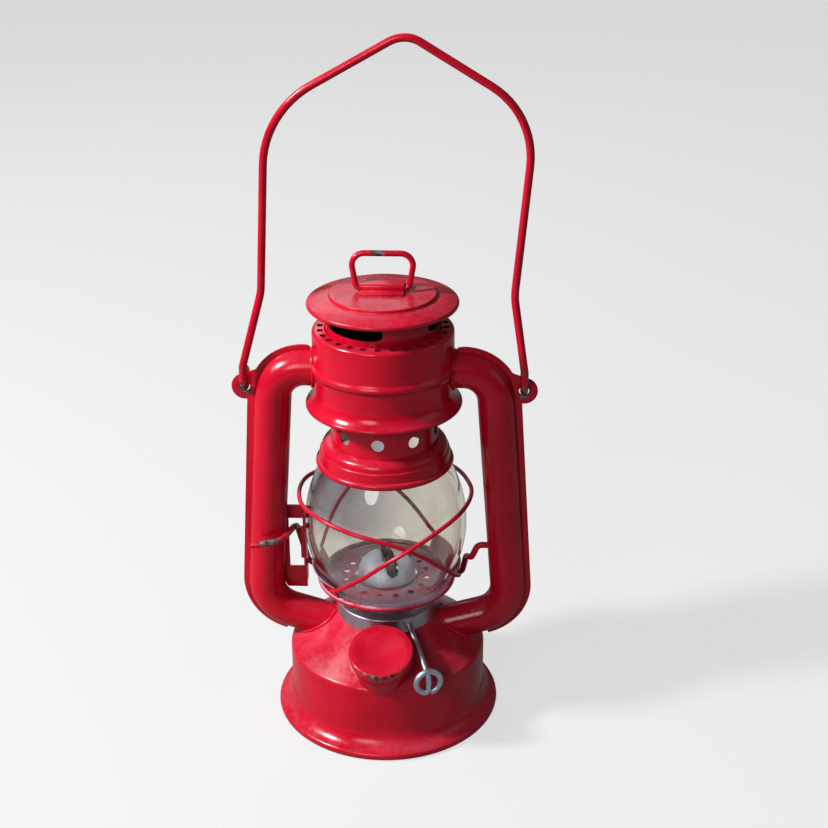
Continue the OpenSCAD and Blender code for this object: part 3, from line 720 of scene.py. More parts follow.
def spot_group() -> bpy.types.NodeTree:
    """A ragged patch round one place: Place, Radius, Scale to Mask.

    Returns:
        The group's tree.
    """
    sockets = {"Place": "NodeSocketVector", "Radius": VALUE, "Scale": VALUE}
    tree, w, given, made = new_group(Effect.SPOT, sockets, ["Mask"])
    gap = w.vector("DISTANCE", w.place(), given.outputs["Place"])
    share = w.math("DIVIDE", gap.outputs["Value"], given.outputs["Radius"])
    ragged = w.total(share, (w.noise(given.outputs["Scale"], 6.0, 0.65), 1.6))
    w.feed(made.inputs["Mask"], w.ramp(ragged, 1.75, 1.25))
    return tree


def soot_and_shade_group() -> bpy.types.NodeTree:
    """Soot together with painted shade on what faces the lantern's axis and on what faces down to the flame:
    Amount, Scale to Mask.

    Returns:
        The group's tree.
    """
    tree, w, given, made = new_group(Effect.SOOT, {"Amount": VALUE, "Scale": VALUE}, ["Mask"])
    coords = w.node("ShaderNodeTexCoord")
    flat = w.vector("MULTIPLY", coords.outputs["Object"], (1.0, 1.0, 0.0))
    out = w.node("ShaderNodeVectorMath", operation="NORMALIZE")
    w.feed(out.inputs[0], flat.outputs[0])
    along = w.vector("DOT_PRODUCT", out.outputs[0], coords.outputs["Normal"])
    inside = w.ramp(along.outputs["Value"], -0.1, -0.4)
    below = w.ramp(w.split(coords.outputs["Normal"])["Z"], -0.35, -0.75)
    cloud = w.ramp(w.noise(given.outputs["Scale"], 6.0, 0.6), 0.2, 0.6, (0.94, 1.0))
    cover = w.math("MULTIPLY", w.math("MAXIMUM", inside, below), cloud)
    w.feed(made.inputs["Mask"], w.math("MULTIPLY", cover, given.outputs["Amount"], clamp=True))
    return tree


EFFECTS = {
    Effect.CHIPS: chips_group(),
    Effect.DUST: dust_group(),
    Effect.GRIME: grime_group(),
    Effect.PEEL: peel_group(),
    Effect.SPOT: spot_group(),
    Effect.SOOT: soot_and_shade_group(),
}


def use(w: Wiring, effect: Effect, **values: object) -> bpy.types.NodeSocket:
    """Place an effect's group in a material.

    Args:
        w: Wiring of the material.
        effect: The effect.
        values: Its inputs by name.

    Returns:
        The group's only output.
    """
    made = w.node("ShaderNodeGroup")
    made.node_tree = EFFECTS[effect]
    for name, value in values.items():
        w.feed(made.inputs[name.capitalize()], value)
    return made.outputs[0]


def new_material(name: str) -> tuple[bpy.types.Material, Wiring, bpy.types.Node]:
    """A material with its wiring and its Principled shader.

    Args:
        name: Name of the material.

    Returns:
        The material, its wiring and its Principled shader.
    """
    material = bpy.data.materials.new(name)
    material.use_nodes = True
    return material, Wiring(material.node_tree), material.node_tree.nodes["Principled BSDF"]


def relief(w: Wiring, shader: bpy.types.Node, height: object, depth: float, strength: float) -> None:
    """Feed a height into the shader's normal; depth is in millimetres.

    Args:
        w: Wiring of the material.
        shader: The shader.
        height: The height.
        depth: How deep the relief is.
        strength: How strongly it shows.
    """
    bump = w.node("ShaderNodeBump")
    bump.inputs["Strength"].default_value = strength
    bump.inputs["Distance"].default_value = depth * MM
    w.feed(bump.inputs["Height"], height)
    w.feed(shader.inputs["Normal"], bump.outputs[0])


@dataclass(frozen=True)
class Worn:
    """A place where the paint is rubbed through.

    Attributes:
        place: Centre in millimetres.
        radius: How far the wear reaches.
    """

    place: Point
    radius: float


@dataclass(frozen=True)
class Enamel:
    """Crimson gloss enamel on tinplate or wire, with its wear.

    Attributes:
        name: Name of the material.
        slot: The record's material slot; not used.
        colour: Colour of the clean paint.
        dust: Amount of settled dust.
        grime: Amount of dark smears.
        chips: Amount of chipped paint.
        soot_and_shade: Amount of soot together with painted shade on the side that faces the flame.
        dust_colour: Colour of the dust.
        dust_cover: How far the dust hides the paint.
        worn: Places that are rubbed to the metal.
    """

    name: str
    slot: Slot = Slot.PAINT
    colour: Colour = (0.57, 0.001, 0.017)
    dust: float = 0.3
    grime: float = 0.25
    chips: float = 0.25
    soot_and_shade: float = 0.0
    dust_colour: Colour = (0.60, 0.19, 0.29)
    dust_cover: float = 0.42
    worn: tuple[Worn, ...] = ()

    def material(self) -> bpy.types.Material:
        """Build the material.

        Returns:
            The material.
        """
        material, w, shader = new_material(self.name)
        deep = tuple(0.8 * c for c in self.colour)
        faded = (min(1.0, 1.08 * self.colour[0]), self.colour[1] + 0.0015, self.colour[2] + 0.007)
        colour = w.mix(w.ramp(w.noise(34.0, 5.0, 0.6), 0.3, 0.7), deep, faded)
        colour = w.mix(w.ramp(w.noise(260.0, 3.0, 0.6), 0.5, 0.8, (0.0, 0.35)), colour, deep)
        dust = use(w, Effect.DUST, amount=self.dust, scale=55.0)
        grime = use(w, Effect.GRIME, amount=self.grime, scale=48.0)
        chips = use(w, Effect.CHIPS, amount=self.chips, scale=210.0)
        for spot in self.worn:
            place = tuple(c * MM for c in spot.place)
            rubbed = use(w, Effect.SPOT, place=place, radius=spot.radius * MM, scale=420.0)
            chips = w.math("MAXIMUM", chips, rubbed)
        metal = w.mix(w.ramp(w.noise(520.0, 4.0, 0.6), 0.4, 0.65), RUSTY, RUBBED)
        colour = w.mix(w.math("MULTIPLY", grime, 0.7), colour, SMEARED)
        colour = w.mix(w.math("MULTIPLY", dust, self.dust_cover), colour, self.dust_colour)
        colour = w.mix(chips, colour, metal)
        rough = w.ramp(w.noise(90.0, 4.0, 0.6), 0.3, 0.7, (0.12, 0.24))
        rough = w.total(rough, (dust, 0.36), (grime, 0.2), (chips, 0.25), clamp=True)
        # Soot together with painted shade: faces that point inwards and down turn near-black.
        if self.soot_and_shade:
            soot_and_shade = use(w, Effect.SOOT, amount=self.soot_and_shade, scale=60.0)
            colour = w.mix(soot_and_shade, colour, SOOT_AND_SHADE_BLACK)
            rough = w.total(rough, (soot_and_shade, 0.6), clamp=True)
        w.feed(shader.inputs["Base Color"], colour)
        w.feed(shader.inputs["Roughness"], rough)
        w.feed(shader.inputs["Metallic"], w.math("MULTIPLY", chips, 0.55))
        shader.inputs["Specular IOR Level"].default_value = 0.32
        relief(w, shader, w.total(use(w, Effect.PEEL, scale=420.0), (chips, -1.6)), 0.10, 0.3)
        return material


@dataclass(frozen=True)
class BareMetal:
    """Unpainted metal with rolling marks, stains and a dull bloom.

    Attributes:
        name: Name of the material.
        slot: The record's material slot; not used.
        colour: Colour of the clean metal.
        stain: Colour of the stains.
        rough: Roughness of the clean metal.
        grime: Amount of dark smears.
        metallic: How metallic the clean surface is.
        spun: Whether its marks fan out from the lantern's axis.
    """

    name: str
    slot: Slot = Slot.TIN
    colour: Colour = (0.52, 0.55, 0.62)
    stain: Colour = (0.16, 0.15, 0.17)
    rough: float = 0.3
    grime: float = 0.4
    metallic: float = 0.95
    spun: bool = False

    def marks(self, w: Wiring) -> bpy.types.NodeSocket:
        """The marks that rolling or spinning left in the sheet.

        Args:
            w: Wiring of the material.

        Returns:
            The depth of the marks.
        """
        if not self.spun:
            return w.noise(260.0, 4.0, 0.6, (1.0, 1.0, 0.12))
        place = w.split(w.place())
        fan = w.node("ShaderNodeCombineXYZ")
        w.feed(fan.inputs["X"], w.math("ARCTAN2", place["Y"], place["X"]))
        w.feed(fan.inputs["Y"], w.math("MULTIPLY", place["Z"], 12.0))
        streaks = w.node("ShaderNodeTexNoise")
        w.feed(streaks.inputs["Vector"], fan.outputs[0])
        streaks.inputs["Scale"].default_value = 14.0
        streaks.inputs["Detail"].default_value = 5.0
        return streaks.outputs[0]

    def material(self) -> bpy.types.Material:
        """Build the material.

        Returns:
            The material.
        """
        material, w, shader = new_material(self.name)
        marks = self.marks(w)
        bloom = w.ramp(w.noise(70.0, 6.0, 0.6), 0.35, 0.7)
        grime = use(w, Effect.GRIME, amount=self.grime, scale=75.0)
        dust = use(w, Effect.DUST, amount=0.35, scale=90.0)
        dull = tuple(0.72 * c for c in self.colour)
        colour = w.mix(bloom, self.colour, dull)
        colour = w.mix(w.ramp(marks, 0.4, 0.8, (0.0, 0.3)), colour, self.stain)
        colour = w.mix(grime, colour, self.stain)
        colour = w.mix(w.math("MULTIPLY", dust, 0.4), colour, PALE_DUST)
        w.feed(shader.inputs["Base Color"], colour)
        rough = w.total(self.rough, (bloom, 0.16), (grime, 0.25), (dust, 0.3), clamp=True)
        w.feed(shader.inputs["Roughness"], rough)
        w.feed(shader.inputs["Metallic"], w.total(self.metallic, (grime, -0.5)))
        relief(w, shader, w.math("ADD", marks, w.noise(900.0, 2.0)), 0.05, 0.25)
        return material


@dataclass(frozen=True)
class ShadeTintedGlass:
    """Clear blown glass with a beige tint that stands in for the surroundings seen through it, and a grey
    tint painted near its top and its left side for the shadow and dark reflection of the skirt and canopy.

    Attributes:
        name: Name of the material.
        slot: The record's material slot; not used.
        clear: Tint of the clean glass, beige as painted for the surroundings seen through it.
        shade_tint: Grey tint painted for the shadow and dark reflection of the skirt and canopy.
        shade_low: Height where the painted shade starts.
        shade_high: Height where the painted shade is thickest.
        shade_side: Reach to either side over which the painted shade thins out to the right.
    """

    name: str
    slot: Slot = Slot.GLASS
    clear: Colour = (0.86, 0.83, 0.77)
    shade_tint: Colour = (0.33, 0.30, 0.35)
    shade_low: float = 95.0
    shade_high: float = 108.0
    shade_side: float = 16.0

    def material(self) -> bpy.types.Material:
        """Build the material.

        Returns:
            The material.
        """
        material, w, shader = new_material(self.name)
        place = w.split(w.place())
        height = w.ramp(place["Z"], self.shade_low * MM, self.shade_high * MM)
        left = w.ramp(place["X"], self.shade_side * MM, -self.shade_side * MM)
        drift = w.ramp(w.noise(30.0, 6.0, 0.6), 0.3, 0.7, (0.7, 1.0))
        smears = use(w, Effect.GRIME, amount=0.3, scale=38.0)
        # Painted shade: a grey tint high up and on the left, for the shadow and dark reflection of the skirt
        # and canopy; the smears are dirt.
        painted_shade = w.math("MULTIPLY", w.math("MULTIPLY", height, left), drift)
        shade_and_smears = w.total(painted_shade, (smears, 0.35), clamp=True)
        w.feed(shader.inputs["Base Color"], w.mix(shade_and_smears, self.clear, self.shade_tint))
        w.feed(shader.inputs["Roughness"], w.total(0.012, (shade_and_smears, 0.06)))
        shader.inputs["Transmission Weight"].default_value = 1.0
        shader.inputs["IOR"].default_value = 1.46
        relief(w, shader, w.noise(60.0, 3.0, 0.5, (1.0, 1.0, 0.4)), 0.12, 0.12)
        return material


@dataclass(frozen=True)
class CorkSheet:
    """Pressed cork.

    Attributes:
        name: Name of the material.
        slot: The record's material slot; not used.
    """

    name: str
    slot: Slot = Slot.CORK

    def material(self) -> bpy.types.Material:
        """Build the material.

        Returns:
            The material.
        """
        material, w, shader = new_material(self.name)
        cells = w.node("ShaderNodeTexVoronoi")
        w.feed(cells.inputs["Vector"], w.place())
        cells.inputs["Scale"].default_value = 900.0
        grains = w.ramp(cells.outputs["Distance"], 0.1, 0.7)
        colour = w.mix(grains, (0.50, 0.31, 0.16), (0.27, 0.15, 0.07))
        colour = w.mix(w.ramp(w.noise(300.0), 0.4, 0.7), colour, (0.40, 0.25, 0.13))
        w.feed(shader.inputs["Base Color"], colour)
        w.feed(shader.inputs["Roughness"], w.ramp(grains, 0.0, 1.0, (0.7, 0.95)))
        relief(w, shader, grains, 0.2, 0.5)
        return material


@dataclass(frozen=True)
class WovenWick:
    """Flat woven cotton with a charred end.

    Attributes:
        name: Name of the material.
        char_from: Height where the char starts.
        slot: The record's material slot; not used.
        char_fade: Height over which the cotton turns black.
    """

    name: str
    char_from: float
    slot: Slot = Slot.WICK
    char_fade: float = 2.5

    def material(self) -> bpy.types.Material:
        """Build the material.

        Returns:
            The material.
        """
        material, w, shader = new_material(self.name)
        weft = w.node("ShaderNodeTexWave", wave_type="BANDS", bands_direction="Z")
        warp = w.node("ShaderNodeTexWave", wave_type="BANDS", bands_direction="Y")
        for wave, scale in ((weft, 420.0), (warp, 320.0)):
            w.feed(wave.inputs["Vector"], w.place())
            wave.inputs["Scale"].default_value = scale
            wave.inputs["Distortion"].default_value = 0.6
        weave = w.math("MULTIPLY", weft.outputs["Fac"], warp.outputs["Fac"])
        colour = w.mix(w.ramp(weave, 0.0, 0.7), (0.42, 0.36, 0.26), (0.80, 0.75, 0.62))
        edge = w.total(w.split(w.place())["Z"], (w.noise(400.0), 0.002))
        char = w.ramp(edge, self.char_from * MM, (self.char_from + self.char_fade) * MM)
        w.feed(shader.inputs["Base Color"], w.mix(char, colour, CHARRED))
        w.feed(shader.inputs["Roughness"], w.ramp(weave, 0.0, 1.0, (0.95, 0.8)))
        relief(w, shader, weave, 0.25, 0.6)
        return material


Finish = Enamel | BareMetal | ShadeTintedGlass | CorkSheet | WovenWick


def fit(obj: bpy.types.Object, body: Body, finish: Finish, nodes: Sequence[str]) -> None:
    """Dress a finished piece and put it in place of CAD nodes.

    Args:
        obj: The piece.
        body: The body that it rides on.
        finish: Its finish.
        nodes: CAD nodes that it replaces.
    """
    obj.data.materials.clear()
    obj.data.materials.append(finish.material())
    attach(obj, body.value)
    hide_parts(*nodes)
    LOG.info("%s replaces %s on %s", obj.name, ", ".join(nodes), body.value)


def dress(node: str, finish: Finish) -> None:
    """Give a CAD node that stays its finish.

    Args:
        node: Name of the node.
        finish: Its finish.
    """
    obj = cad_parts[node]
    obj.data.materials.clear()
    obj.data.materials.append(finish.material())
    LOG.info("%s keeps its solid", node)


@dataclass
class Tank:
    """The pressed tank: rolled foot, flare, upright wall and conical top."""

    sheet: float = 0.6
    foot_bead: float = 2.0
    foot_flat: float = 0.2
    wall_radius: float = 43.6
    flare_height: float = 11.4
    flare_foot: tuple[float, float] = (48.6, 3.8)
    shoulder_height: float = 31.0
    shoulder_radius: float = 2.5
    top_slope: float = 35.0
    drum_radius: float = 22.2
    mouth_radius: float = 12.0

    def crown(self) -> float:
        """Height of the flat round the mouth.

        Returns:
            The height in millimetres.
        """
        slope = math.radians(self.top_slope)
        start_r = self.wall_radius - self.shoulder_radius * (1 - math.sin(slope))
        start_z = self.shoulder_height + self.shoulder_radius * math.cos(slope)
        return start_z + (start_r - self.drum_radius) * math.tan(slope)

    def top_at(self, radius: float) -> float:
        """Height of the conical top at a distance from the axis."""
        return self.crown() + (self.drum_radius - radius) * math.tan(math.radians(self.top_slope))

    def outline(self) -> Outline:
        """The outside of the sheet from the foot to the mouth.

        Returns:
            Points of (radius, height).
        """
        run = self.flare_foot[0] - self.wall_radius
        drop = self.flare_height - self.flare_foot[1]
        hollow = (run * run + drop * drop) / (2 * run)
        end = 180 + math.degrees(math.atan2(drop, hollow - run))
        flare = arc((self.wall_radius + hollow, self.flare_height), hollow, end, 180, 14)
        centre = (self.wall_radius - self.shoulder_radius, self.shoulder_height)
        shoulder = arc(centre, self.shoulder_radius, 0, 90 - self.top_slope, 8)
        return flare + shoulder + [(self.drum_radius, self.crown()), (self.mouth_radius, self.crown())]

    def build(self) -> None:
        """Model the tank and dress its floor."""
        foot_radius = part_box("tank_shell")[1].x / MM
        shell = Bench.turned("tank_sheet", self.outline(), self.sheet, FOOT_TURN)
        foot = Bench.rolled("foot_bead", foot_radius, self.foot_bead - self.foot_flat, self.foot_bead)
        tank = Bench.join("tank", [shell, foot])
        Bench.soften(tank)
        fit(tank, Body.FRAME, Enamel("tank_enamel", dust=0.6, grime=0.3, chips=0.2), ["tank_shell"])
        dress("tank_floor", Enamel("floor_enamel", dust=0.0, grime=0.6, chips=0.4))
        dress("fuel_deck", BareMetal("deck_tin"))


@dataclass
class Filler:
    """The tilted filler with its screw cap and gasket.

    Each chip in the cap's edge is its angle in degrees, its drop below the top and its reach.
    """

    cap_radius: float = 14.0
    cap_height: float = 6.0
    cap_wall: float = 0.8
    cap_round: float = 1.0
    ridge: float = 1.5
    dish_radius: float = 9.4
    dish_depth: float = 0.6
    place: Point = (0.0, -37.9, 49.5)
    tilt: float = 20.0
    chipped: tuple[Point, ...] = (
        (-118.0, 0.5, 1.3),
        (-104.0, 0.9, 1.8),
        (-92.0, 1.3, 2.2),
        (-80.0, 1.1, 1.5),
        (-66.0, 0.7, 1.6),
        (-50.0, 0.6, 1.2),
    )

    def build(self) -> None:
        """Model the cap and dress the neck and the gasket."""
        under = -self.dish_depth - self.cap_wall
        inner = self.cap_radius - self.cap_wall
        top = arc((self.cap_radius - self.cap_round, -self.cap_round), self.cap_round, 0, 90, 6)
        outline = [(0.0, under), (inner, under)]
        outline += [(inner, -self.cap_height), (self.cap_radius, -self.cap_height)]
        outline += top + [(self.dish_radius + self.ridge, 0.0), (self.dish_radius, -self.dish_depth)]
        cap = Bench.turned("screw_cap", outline + [(0.0, -self.dish_depth)])
        Bench.soften(cap, 0.3)
        tilted = Matrix.Translation(self.place) @ Matrix.Rotation(math.radians(self.tilt), 4, "X")
        Bench.place(cap, tilted)
        worn = []
        for turn, drop, reach in self.chipped:
            edge = Vector((*polar(self.cap_radius, turn), -drop))
            worn.append(Worn(tuple(tilted @ edge), reach))
        finish = Enamel("cap_enamel", dust=0.25, grime=0.35, chips=0.3, worn=tuple(worn))
        fit(cap, Body.CAP, finish, ["filler_cap"])
        dress("filler_neck", Enamel("neck_enamel", dust=0.2, grime=0.35, chips=0.15))
        dress("filler_gasket", CorkSheet("gasket_cork"))


@dataclass
class Burner:
    """The bare tin burner: drum, gallery, dome, wick and the wire knob that raises it."""

    sheet: float = 0.6
    drum_radius: float = 22.2
    drum_top: float = 54.2
    gallery_radius: float = 13.2
    dome_height: float = 65.5
    dome_radius: float = 12.8
    dome_rise: float = 10.8
    slot_width: float = 5.6
    slot_length: float = 26.4
    turn: float = 20.0
    shaft_offset: float = 4.0
    shaft_height: float = 56.8
    shaft_slope: float = 17.0
    shaft_inner: float = -7.0
    shaft_reach: float = 51.5
    shaft_wire: float = 2.6
    shaft_bend: float = 1.5
    knob_radius: float = 5.3
    knob_drop: float = 3.0
    knob_from: float = -112.0
    knob_to: float = -440.0
    gallery_gap: float = 0.05
    char_length: float = 4.0

    def knob_path(self) -> Path:
        """The wire's axis: along the shaft, down across the loop and round it.

        Returns:
            The points along the wire.
        """
        slope = math.radians(self.shaft_slope)
        hung = Matrix.Translation((0, 0, self.shaft_reach)) @ Matrix.Rotation(-slope, 4, "X")
        turns = arc((0, -self.knob_drop), self.knob_radius, self.knob_from, self.knob_to, 40)
        loop = [hung @ Vector((*p, 0)) for p in turns]
        low = hung @ Vector((0, -self.knob_drop - self.knob_radius, 0))
        corners = [
            (0, 0, self.shaft_inner),
            (0, 0, self.shaft_reach, self.shaft_bend),
            (*low, self.shaft_bend),
        ]
        path = route(corners + [tuple(loop[0])]) + loop[1:]
        at_burner = Matrix.Rotation(math.radians(self.turn), 4, "Z")
        beside_wick = Matrix.Translation((self.shaft_offset, 0, self.shaft_height))
        outward = Matrix.Rotation(math.radians(90 + self.shaft_slope), 4, "X")
        return [at_burner @ beside_wick @ outward @ p for p in path]

    def build(self, crown: float) -> None:
        """Model the drum, the dome and the knob, and dress the rest.

        Args:
            crown: Height of the tank top that the drum stands on.
        """
        bead = self.sheet
        outline = [(self.drum_radius, crown), (self.drum_radius, self.drum_top - 2 * bead)]
        outline += arc((self.drum_radius - bead, self.drum_top - bead), bead, 0, 90, 5)
        outline += [(self.gallery_radius + self.gallery_gap, self.drum_top)]
        drum = Bench.turned("drum", outline, self.sheet)
        Bench.soften(drum)
        tin = BareMetal("drum_tin", colour=(0.52, 0.50, 0.60), stain=(0.12, 0.10, 0.07), grime=0.7)
        fit(drum, Body.FRAME, tin, ["burner_drum"])
        squash = self.dome_rise / self.dome_radius
        ball = [(r, self.dome_height + squash * z) for r, z in arc((0, 0), self.dome_radius, 0, 90, 16)]
        dome = Bench.turned("dome", ball, self.sheet)
        slot = (self.slot_width, self.slot_length, self.gallery_radius)
        cutter = Bench.block(slot, (0, 0, self.dome_height + self.gallery_radius), self.turn)
        along = Matrix.Rotation(math.radians(self.turn), 4, "Z") @ Vector((0, self.slot_length / 2, 0))
        end_height = Vector((0, 0, self.dome_height + self.gallery_radius / 2))
        Bench.cut(dome, [cutter])
        Bench.cut(dome, [Bench.bar(self.slot_width / 2, end_height - along, end_height + along)])
        Bench.soften(dome)
        # The dome's pale sky-blue colour, with little metallic, is a painted reflection of the sky on bare
        # tin.
        spun = BareMetal("dome_tin_painted_sky", colour=(0.70, 0.79, 1.0), metallic=0.35, grime=0.3, spun=True)
        fit(dome, Body.FRAME, spun, ["burner_cone"])
        knob = Bench.wire("wick_knob", self.knob_path(), self.shaft_wire)
        Bench.soften(knob)
        steel = BareMetal("knob_steel", Slot.STEEL, (0.60, 0.68, 0.78), (0.12, 0.10, 0.09), 0.32, 0.3)
        fit(knob, Body.KNOB, steel, ["wick_shaft"])
        for node in ("burner_collar", "burner_base", "burner_gallery", "wick_tube", "shaft_bearing"):
            dress(node, BareMetal(node + "_tin", grime=0.6))
        dress("wick", WovenWick("wick_cotton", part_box("wick")[1].z / MM - self.char_length))
        brass = BareMetal("wheel_brass", Slot.BRASS, (0.62, 0.45, 0.17), (0.2, 0.13, 0.05), 0.34, 0.4)
        dress("wick_wheels", brass)


@dataclass
class AirTube:
    """One air tube from the canopy down to the tank top, with its folded seam and the bail's ear."""

    side: int
    diameter: float = 16.0
    top_height: float = 164.4
    start_x: float = 27.6
    upper_centre: tuple[float, float] = (33.4, 150.6)
    upper_bend: float = 13.8
    lower_centre: tuple[float, float] = (38.0, 60.5)
    lower_bend: float = 16.0
    leg_slope: float = 17.0
    leg_length: float = 20.5
    seam_height: float = 2.2
    seam_thickness: float = 1.2
    seam_root: float = 1.0
    ear_centre: tuple[float, float] = (58.8, 155.2)
    ear_radius: float = 5.8
    ear_hole: float = 2.15
    ear_from: float = 82.0
    ear_to: float = -96.0
    ear_cut: float = 5.0
    ear_wear: float = 3.2
    ear_wear_drop: float = 1.0
    seam_lap: float = 0.4
    seam_ramp: float = 1.6
    seam_ease: float = 0.3
    seam_to_ear: float = 31.0
    upper_steps: int = 16
    lower_steps: int = 18
    bead: float = 1.3
    bead_gap: float = 0.45
    canopy_radius: float = 29.6

    def splay(self) -> float:
        """Angle in degrees by which the straight run leans outwards.

        Returns:
            The angle.
        """
        dx = self.lower_centre[0] - self.upper_centre[0]
        dz = self.upper_centre[1] - self.lower_centre[1]
        gain = self.lower_bend - self.upper_bend
        return math.degrees(math.atan2(dx, dz) + math.asin(gain / math.hypot(dx, dz)))

    def along(self, offset: float, upper_from: float = 90.0) -> Outline:
        """The tube's line in the XZ plane, moved outwards from its axis.

        Args:
            offset: Distance outside the axis.
            upper_from: Angle on the upper elbow where the line starts.

        Returns:
            Points from the upper elbow to the end of the lower one.
        """
        splay = self.splay()
        upper = arc(self.upper_centre, self.upper_bend + offset, upper_from, splay, self.upper_steps)
        foot = self.leg_slope - 90
        lower = arc(self.lower_centre, self.lower_bend + offset, splay, foot, self.lower_steps)
        return upper + lower

    def tank_bead(self, tank: Tank) -> Path:
        """The closed line along which the leg's turned-out edge lies on the tank top.

        Args:
            tank: The tank that the leg stands on.

        Returns:
            The points round the leg.
        """
        slope = math.radians(self.leg_slope)
        x, z = self.along(0.0)[-1]
        inward = Vector((-math.cos(slope), 0, -math.sin(slope)))
        upward = Vector((-math.sin(slope), 0, math.cos(slope)))
        reach = self.diameter / 2 + self.bead_gap
        path = []
        for i in range(73):
            t = math.tau * i / 72
            rim = Vector((x, reach * math.cos(t), z)) + upward * reach * math.sin(t)
            near, far = 0.0, 2 * self.leg_length
            while far - near > 0.01:
                middle = (near + far) / 2
                p = rim + inward * middle
                outside = p.z - self.bead_gap > tank.top_at(math.hypot(p.x, p.y))
                near, far = (middle, far) if outside else (near, middle)
            p = rim + inward * near
            path.append(Vector((self.side * p.x, p.y, p.z)))
        return path

    def canopy_bead(self) -> Path:
        """The closed line along which the tube's turned-out edge lies on the canopy.

        Returns:
            The points round the tube.
        """
        reach = self.diameter / 2 + self.bead_gap / 2
        path = []
        for y, z in arc((0, self.top_height), reach, 0, 360, 72):
            x = math.sqrt(self.canopy_radius**2 - y * y) + self.bead_gap
            path.append(Vector((self.side * x, y, z)))
        return path

    def build(self, tank: Tank) -> None:
        """Model the tube, its seam, its ear and its turned-out ends as one piece.

        Args:
            tank: The tank that the tube stands on.
        """
        label = "right" if self.side > 0 else "left"
        line = [(self.start_x, self.top_height)] + self.along(0.0)
        slope = math.radians(self.leg_slope)
        end = line[-1]
        line += [(end[0] - self.leg_length * math.cos(slope), end[1] - self.leg_length * math.sin(slope))]
        tube = Bench.wire(label + "_pipe", [(self.side * x, 0.0, z) for x, z in line], self.diameter)
        radius = self.diameter / 2
        tip = radius + self.seam_height
        ear = arc(self.ear_centre, self.ear_radius, self.ear_from, self.ear_to, 18)
        start = self.canopy_radius + self.seam_lap
        head = [(start, self.top_height + radius)]
        head += [(self.canopy_radius + self.seam_ramp, self.top_height + tip - self.seam_ease)]
        head += arc(self.upper_centre, self.upper_bend + tip, 90, self.seam_to_ear, 10)
        tail = self.along(tip)[self.upper_steps + 1:]
        root = [(start, self.top_height + radius - self.seam_root)]
        root += self.along(radius - self.seam_root)
        outline = [(self.side * x, z) for x, z in head + ear + tail + root[::-1]]
        seam = Bench.plate(label + "_seam", outline, self.seam_thickness)
        hole_x, hole_z = self.side * self.ear_centre[0], self.ear_centre[1]
        near, far = (hole_x, -self.ear_cut, hole_z), (hole_x, self.ear_cut, hole_z)
        Bench.cut(seam, [Bench.bar(self.ear_hole, near, far)])
        Bench.soften(seam, 0.25)
        foot = Bench.wire(label + "_foot_bead", self.tank_bead(tank), self.bead)
        head_bead = Bench.wire(label + "_head_bead", self.canopy_bead(), self.bead)
        piece = Bench.join(label + "_air_tube", [tube, seam, foot, head_bead])
        Bench.soften(piece)
        worn = (Worn((hole_x, 0.0, hole_z - self.ear_wear_drop), self.ear_wear),)
        finish = Enamel(label + "_tube_enamel", dust=0.3, grime=0.25, chips=0.12, worn=worn)
        fit(piece, Body.FRAME, finish, [label + "_elbow", label + "_tube", label + "_spigot"])


@dataclass
class Canopy:
    """The drum between the tubes, with a flared rim, a bead and a ring of vents."""

    sheet: float = 0.6
    radius: float = 29.6
    rim_radius: float = 33.1
    rim_height: float = 149.7
    rim_bead: float = 1.1
    rim_leave: float = 50.0
    flare_top: float = 157.0
    bead_height: float = 166.6
    bead_half: float = 2.7
    bead_out: float = 1.15
    top: float = 183.3
    shoulder: float = 1.8
    mouth: float = 24.4
    vents: int = 28
    vent_radius: float = 1.5

    def outline(self) -> Outline:
        """The outside of the sheet from the rim to the mouth.

        Returns:
            Points of (radius, height).
        """
        first = on_rim(self.rim_radius, self.rim_height, self.rim_bead, self.rim_leave)
        knee = (self.radius, first[1] + (first[0] - self.radius) / math.tan(math.radians(self.rim_leave)))
        flare = curve(first, knee, (self.radius, self.flare_top), 10)
        bump = []
        for i in range(-6, 7):
            out = self.bead_out * (1 + math.cos(math.pi * i / 6)) / 2
            bump.append((self.radius + out, self.bead_height + self.bead_half * i / 6))
        corner = arc((self.radius - self.shoulder, self.top - self.shoulder), self.shoulder, 0, 90, 6)
        return flare + bump + corner + [(self.mouth, self.top)]

    def build(self) -> None:
        """Model the canopy."""
        shell = Bench.turned("canopy_sheet", self.outline(), self.sheet, FINE_TURN)
        ring = (self.mouth + self.radius - self.shoulder) / 2
        cutters = []
        for i in range(self.vents):
            x, y = polar(ring, 360 * i / self.vents)
            low, high = (x, y, self.top - CUT_PAST), (x, y, self.top + CUT_PAST)
            cutters.append(Bench.bar(self.vent_radius, low, high))
        Bench.cut(shell, cutters)
        rim = Bench.rolled("canopy_rim", self.rim_radius, self.rim_height, self.rim_bead)
        canopy = Bench.join("canopy_drum", [shell, rim])
        Bench.soften(canopy)
        # The canopy's inward and downward faces get soot together with painted shade.
        finish = Enamel("canopy_enamel", dust=0.3, grime=0.25, chips=0.15, soot_and_shade=0.9)
        fit(canopy, Body.FRAME, finish, ["canopy"])
        dress("lever_bracket", Enamel("bracket_enamel", dust=0.2, grime=0.3, chips=0.12))


